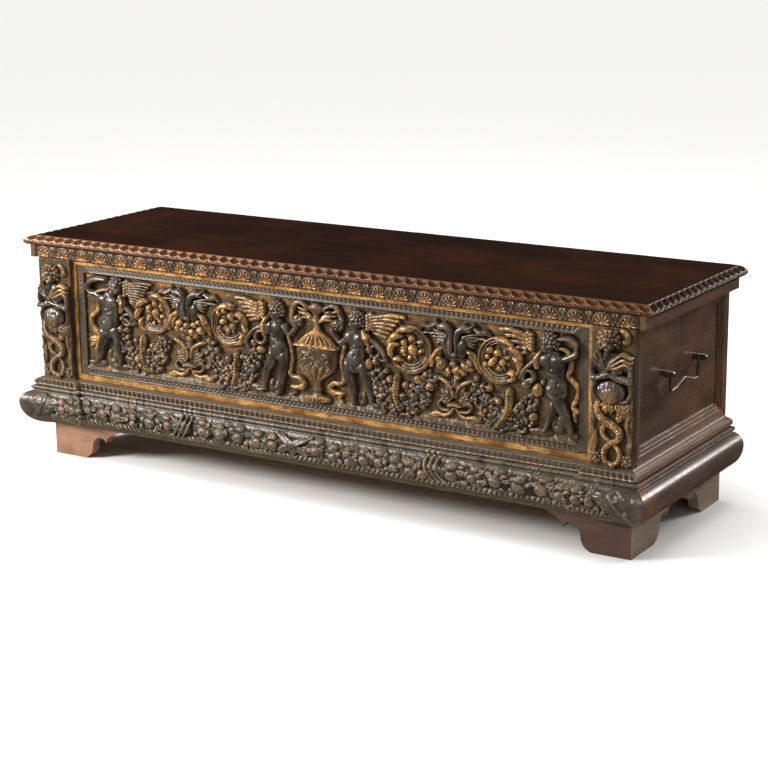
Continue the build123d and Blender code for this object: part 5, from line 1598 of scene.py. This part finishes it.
def hermHead(c):
    # head, wreath of curls and face
    rng = np.random.default_rng(61)
    c.dome(-9, 463, 19, 22, 14, 4, 0, 0.0, 0.5, 1.0)
    for reach, count, lift in ((1.12, 15, 5), (0.90, 12, 10), (0.66, 9, 13)):
        for k in range(count):
            a = 2 * math.pi * (k + 0.5 * (reach < 1)) / count
            px, pz = math.cos(a) * reach * 20, math.sin(a) * reach * 22
            if pz < 3 and abs(px - 1) < 13 or pz < -16 or pz > 22:
                continue
            c.berry(-9 + px, 463 + pz, 4.2 + rng.random(), 3.4 + rng.random(), lift + rng.uniform(-1, 1),
                    0.5 * (rng.random() > 0.6), 0.4, rng.uniform(0, 180), 1.4)
    c.dome(-8, 458, 12.5, 15, 8, 12.5, 0, 0.15, 0.9, 0.6)
    c.dome(-8, 467, 8.5, 5.0, 2.6, 18.5, 0, 0.1, 0.9, 1.5)
    for side in (-1, 1):
        c.groove([(-8 + side * 3.4, 461.5), (-8 + side * 7.4, 461)], 1.5, 3.2)
        c.dome(-8 + side * 5.8, 454.5, 4.2, 4.2, 3.0, 17.4, 0, 0.35, 0.9, 1.0)
    c.strand([(-8, 464), (-8, 456.5)], (1.5, 2.5), (2.4, 4.0), 19.0, 0.3, 0.9, 0.8)
    c.groove([(-12, 451.3), (-8, 450.8), (-4, 451.3)], 1.1, 2.4)
    c.dome(-8, 446.5, 4.2, 3.0, 3.0, 17.0, 0, 0.25, 0.9, 0.8)
    c.strand([(19, 487), (27, 484), (33, 475), (31, 465), (24, 463)], (4, 5.5, 6, 4), (7, 9, 9, 6), 3, 0.8,
             0.3, 0.3, ribs=1, ribDepth=2.4)


def hermArms(c):
    # crossed sashes, forearms, fingers and a brooch
    for dx, dz in ((3, 5), (-3, -3), (-8, -11)):
        c.strand([(-32 + dx, 439 + dz), (-22 + dx * 0.7, 424 + dz * 0.8), (-8, 406)], (2.8, 3.6, 2.6), 6,
                 13.0, 0.1, 0.8, 0.2)
    for dx, dz in ((-2, 5), (2, -4), (6, -13)):
        c.strand([(-8, 406), (8 + dx, 421 + dz * 0.7), (27 + dx, 434 + dz), (44, 428 + dz)],
                 (2.6, 3.8, 3.8, 2.2), 6, 13.0, 0.85, 0.4, 0.2)
    c.strand([(-46, 386), (-28, 388), (-14, 393)], (6, 6.5, 6), (9, 11, 10), 10.5, 0.0, 1.0, 0.6)
    c.strand([(-6, 398), (16, 391), (42, 386)], (5.5, 7, 7.5), (10, 12, 10), 11.5, 0.0, 1.0, 0.6)
    for points in ([(30, 394), (31, 381)], [(35, 393), (36, 380)], [(-30, 393), (-31, 382)]):
        c.groove(points, 1.2, 2.4)
    c.dome(-13, 394, 9, 7.5, 7, 14.5, 0, 0.45, 0.6, 0.4, ribs=2, ribDepth=1.6)


def hermBelly(c):
    # belly, with a fold of cloth on either side
    c.dome(-1, 359, 31, 25, 13, 7, 0, 0.0, 0.85, 1.0, 0.34, ribs=4, ribDepth=0.6)
    c.dome(-1, 352, 19, 15, 4, 17, 0, 0.3, 0.5, 4.0)
    c.strand([(-36, 380), (-41, 362), (-33, 340)], (5, 6, 6), (9, 10, 9), 3, 0.1, 0.6, 0.3, ribs=2,
             ribDepth=2.4)
    c.strand([(40, 380), (43, 362), (37, 346), (22, 340)], (5, 6, 6, 5), (9, 10, 10, 9), 4, 0.12, 0.7, 0.3,
             ribs=2, ribDepth=2.4)


def hermSkirt(c):
    # a skirt of gilt leaves
    for x, z, length, half, turn, gild in (
            (-26, 340, 30, 9, -112, 0.5), (-14, 342, 30, 10, -85, 0.8), (2, 342, 30, 9, -96, 0.6),
            (10, 341, 36, 10, -62, 0.9), (24, 340, 36, 10, -80, 0.8), (24, 320, 26, 9, -112, 0.8),
            (36, 340, 30, 8, -88, 0.35)):
        c.leaf(x, z, length, half, turn, 9, 6, gild, 0.2, 0.3, 2.6, 3, 1.0)


def hermTails(c):
    # two tails twined down to the foot
    lower = [(4, 207), (15, 213), (20, 228), (14, 243), (0, 254), (-14, 263), (-20, 274), (-15, 287),
             (-4, 293)]
    c.strand(lower, (4.5, 4.5, 5.5, 5.5, 5.5, 5.5, 5), (10, 10, 9, 8, 9, 10, 9), 3, 0.5, 0.5, 0.3, ribs=1,
             ribDepth=1.6, cross=5.2, crossDepth=1.6)
    upper = [(-30, 336), (-31, 319), (-18, 300), (6, 289), (20, 276), (16, 261), (2, 252), (-10, 242),
             (-15, 228), (-11, 213), (4, 207)]
    c.strand(upper, (7, 9, 9, 8, 6.5, 6, 5.5, 5, 4.5), (11, 13, 14, 14, 13, 12, 12, 11, 10), 4.5, 0.7, 0.4,
             0.3, ribs=1, ribDepth=1.8, cross=5.6, crossDepth=1.8)
    c.berry(4, 206, 6, 6, 7, 0.5, 0.4)


def herm(c, cx, drop):
    # a crowned bust with crossed arms over a leafy skirt and a twined tail, between tall side leaves; the
    # bust hangs lower by drop and the skirt by part of it
    for part, share in ((hermSides, 0.0), (hermBust, 1.0), (hermHead, 1.0), (hermArms, 1.0), (hermBelly, 1.0),
                        (hermSkirt, 0.4), (hermTails, 0.0)):
        c.shift = (cx, -share * drop)
        part(c)


def pilasters():
    # both herms, each fading to the board's edge; the lower part is gilt more on one side than on the other
    step, rise = hermSet["step"], hermSet["rise"]
    for side, way, drop, lowerGild in (("left", -1, 9.0, 0.4), ("right", 1, 0.0, 1.3)):
        low, high = span(f"pilaster_{side}")
        c = Carving(spaced(low[0], high[0], step), spaced(low[2], high[2], step), step)
        herm(c, way * (abs(low[0]) + abs(high[0])) / 2, drop)
        c.gild = np.clip(np.where(c.Z < hermSet["waist"], lowerGild * c.gild, c.gild), 0, 1)
        c.h = np.clip(c.h + hermSet["tooling"] * mottle(c.h.shape, 54, 2), 0, rise)
        c.h = c.h * np.clip(np.minimum(c.X - low[0], high[0] - c.X) / hermSet["edge"], 0, 1) ** 0.5
        values = c.finish()
        # the flat ground is darker
        flat = np.clip(1 - c.h / hermSet["groundRelief"], 0, 1)
        values["hollow"] = np.maximum(values["hollow"], flat * hermSet["groundDarkening"])
        closedRun(f"herm_{side}", slabGrid(c.X, low[1] + rise - c.h, c.Z, high[1]),
                  carvedPart(carvedMaterial, f"pilaster_{side}"), padValues(values))
    print("pilasters carved")


lidEdge()
shellFrieze()
frameStrips()
baseCap()
garland()
pilasters()


# camera, lights and floor

stageLook = dict(
    camera=dict(place=(2.3485, -3.64095, 1.3551), yaw=-0.5468, pitch=0.2459, roll=-0.0060, sensor=36.0,
                lens=90.39, shift=(-0.0404, -0.0224)),
    areas=dict(key=dict(place=(-2.2, -2.35, 1.6), target=(0, -0.1, 0.3), size=(0.95, 0.95), power=162,
                        tint=(1.0, 0.97, 0.93)),
               softbox=dict(place=(-2.3, -2.7, 2.0), target=(0, -0.1, 0.3), size=(2.4, 1.6), power=70,
                            tint=(1.0, 0.98, 0.96), diffuse=False),
               fill=dict(place=(2.6, -3.0, 2.6), target=(0, 0, 0.3), size=(2.0, 1.2), power=12, glossy=False),
               rim=dict(place=(2.3, 3.0, 1.9), target=(0.8, 0.2, 0.3), size=(0.9, 1.6), power=92)),
    sun=dict(power=2.9, angle=60, turn=(12, -10, 0)), world=(0.03, 0.36), worldFrom=(0.30, 0.90),
    worldTint=(1.0, 0.97, 0.94), paper=0.93, floor=(0.86, 0.86, 0.86), floorHalf=30.0)


def placed(right, up, away, place):
    # the matrix of something that looks along -away, standing at a place
    rows = np.stack([right, up, away], 1).tolist()
    return Matrix([[*row, where] for row, where in zip(rows, place)] + [[0, 0, 0, 1]])


def stageCamera(look):
    # yaw turns the camera to its right, pitch down, roll clockwise, all in radians
    yaw, pitch, roll = look["yaw"], look["pitch"], look["roll"]
    forward = np.array([math.sin(yaw) * math.cos(pitch), math.cos(yaw) * math.cos(pitch), -math.sin(pitch)])
    right = np.array([math.cos(yaw), -math.sin(yaw), 0.0])
    up = np.cross(right, forward)
    c, s = math.cos(roll), math.sin(roll)
    right, up = c * right + s * up, -s * right + c * up
    camera = bpy.data.cameras.new("camera")
    camera.sensor_width, camera.lens = look["sensor"], look["lens"]
    camera.shift_x, camera.shift_y = look["shift"]
    bpy.context.scene.camera = linked("camera", camera)
    bpy.context.scene.camera.matrix_world = placed(right, up, -forward, look["place"])


def stageFloor():
    # a plain pale sheet
    floor = bpy.data.meshes.new("floor")
    size = stageLook["floorHalf"]
    floor.from_pydata([(-size, -size, 0), (size, -size, 0), (size, size, 0), (-size, size, 0)], [],
                      [(0, 1, 2, 3)])
    material, tree = newTree("paleFloor")
    shader(tree, (*stageLook["floor"], 1.0), 0.7, 0.0, dict(specular=0.1, bumpStrength=0.0))
    floor.materials.append(material)
    piece = linked("floor", floor)
    piece.visible_glossy = False


def stageLights():
    # flat lamps aimed at their targets, and a soft sun
    for name, look in stageLook["areas"].items():
        lamp = bpy.data.lights.new(name, "AREA")
        lamp.shape = "RECTANGLE"
        lamp.size, lamp.size_y = look["size"]
        lamp.energy = look["power"]
        lamp.color = look.get("tint", (1, 1, 1))
        away = np.array(look["place"], float) - np.array(look["target"], float)
        away /= np.linalg.norm(away)
        side = np.cross((0, 0, 1), away)
        side /= np.linalg.norm(side)
        piece = linked(name, lamp)
        piece.matrix_world = placed(side, np.cross(away, side), away, look["place"])
        piece.visible_glossy = look.get("glossy", True)
        piece.visible_diffuse = look.get("diffuse", True)
    look = stageLook["sun"]
    sun = bpy.data.lights.new("sun", "SUN")
    sun.energy, sun.angle = look["power"], math.radians(look["angle"])
    piece = linked("sun", sun)
    piece.rotation_euler = [math.radians(turn) for turn in look["turn"]]
    piece.visible_glossy = False


def stageWorld():
    # brighter from low to high, and pale wherever the camera itself looks past the floor
    world = bpy.data.worlds.new("studio")
    world.use_nodes = True
    sky = world.node_tree
    height = put(sky, "SeparateXYZ", {0: put(sky, "TexCoord", output=0)}, 2)
    glow = ramp(sky, height, *stageLook["worldFrom"], *stageLook["world"])
    glow = math2(sky, "MAXIMUM", glow, times(sky, put(sky, "LightPath", output=0), stageLook["paper"]))
    sky.links.new(glow, sky.nodes["Background"].inputs[1])
    sky.nodes["Background"].inputs[0].default_value = (*stageLook["worldTint"], 1)
    bpy.context.scene.world = world
    bpy.context.scene.view_settings.view_transform = "Standard"


stageCamera(stageLook["camera"])
stageFloor()
stageLights()
stageWorld()
print("stage set")
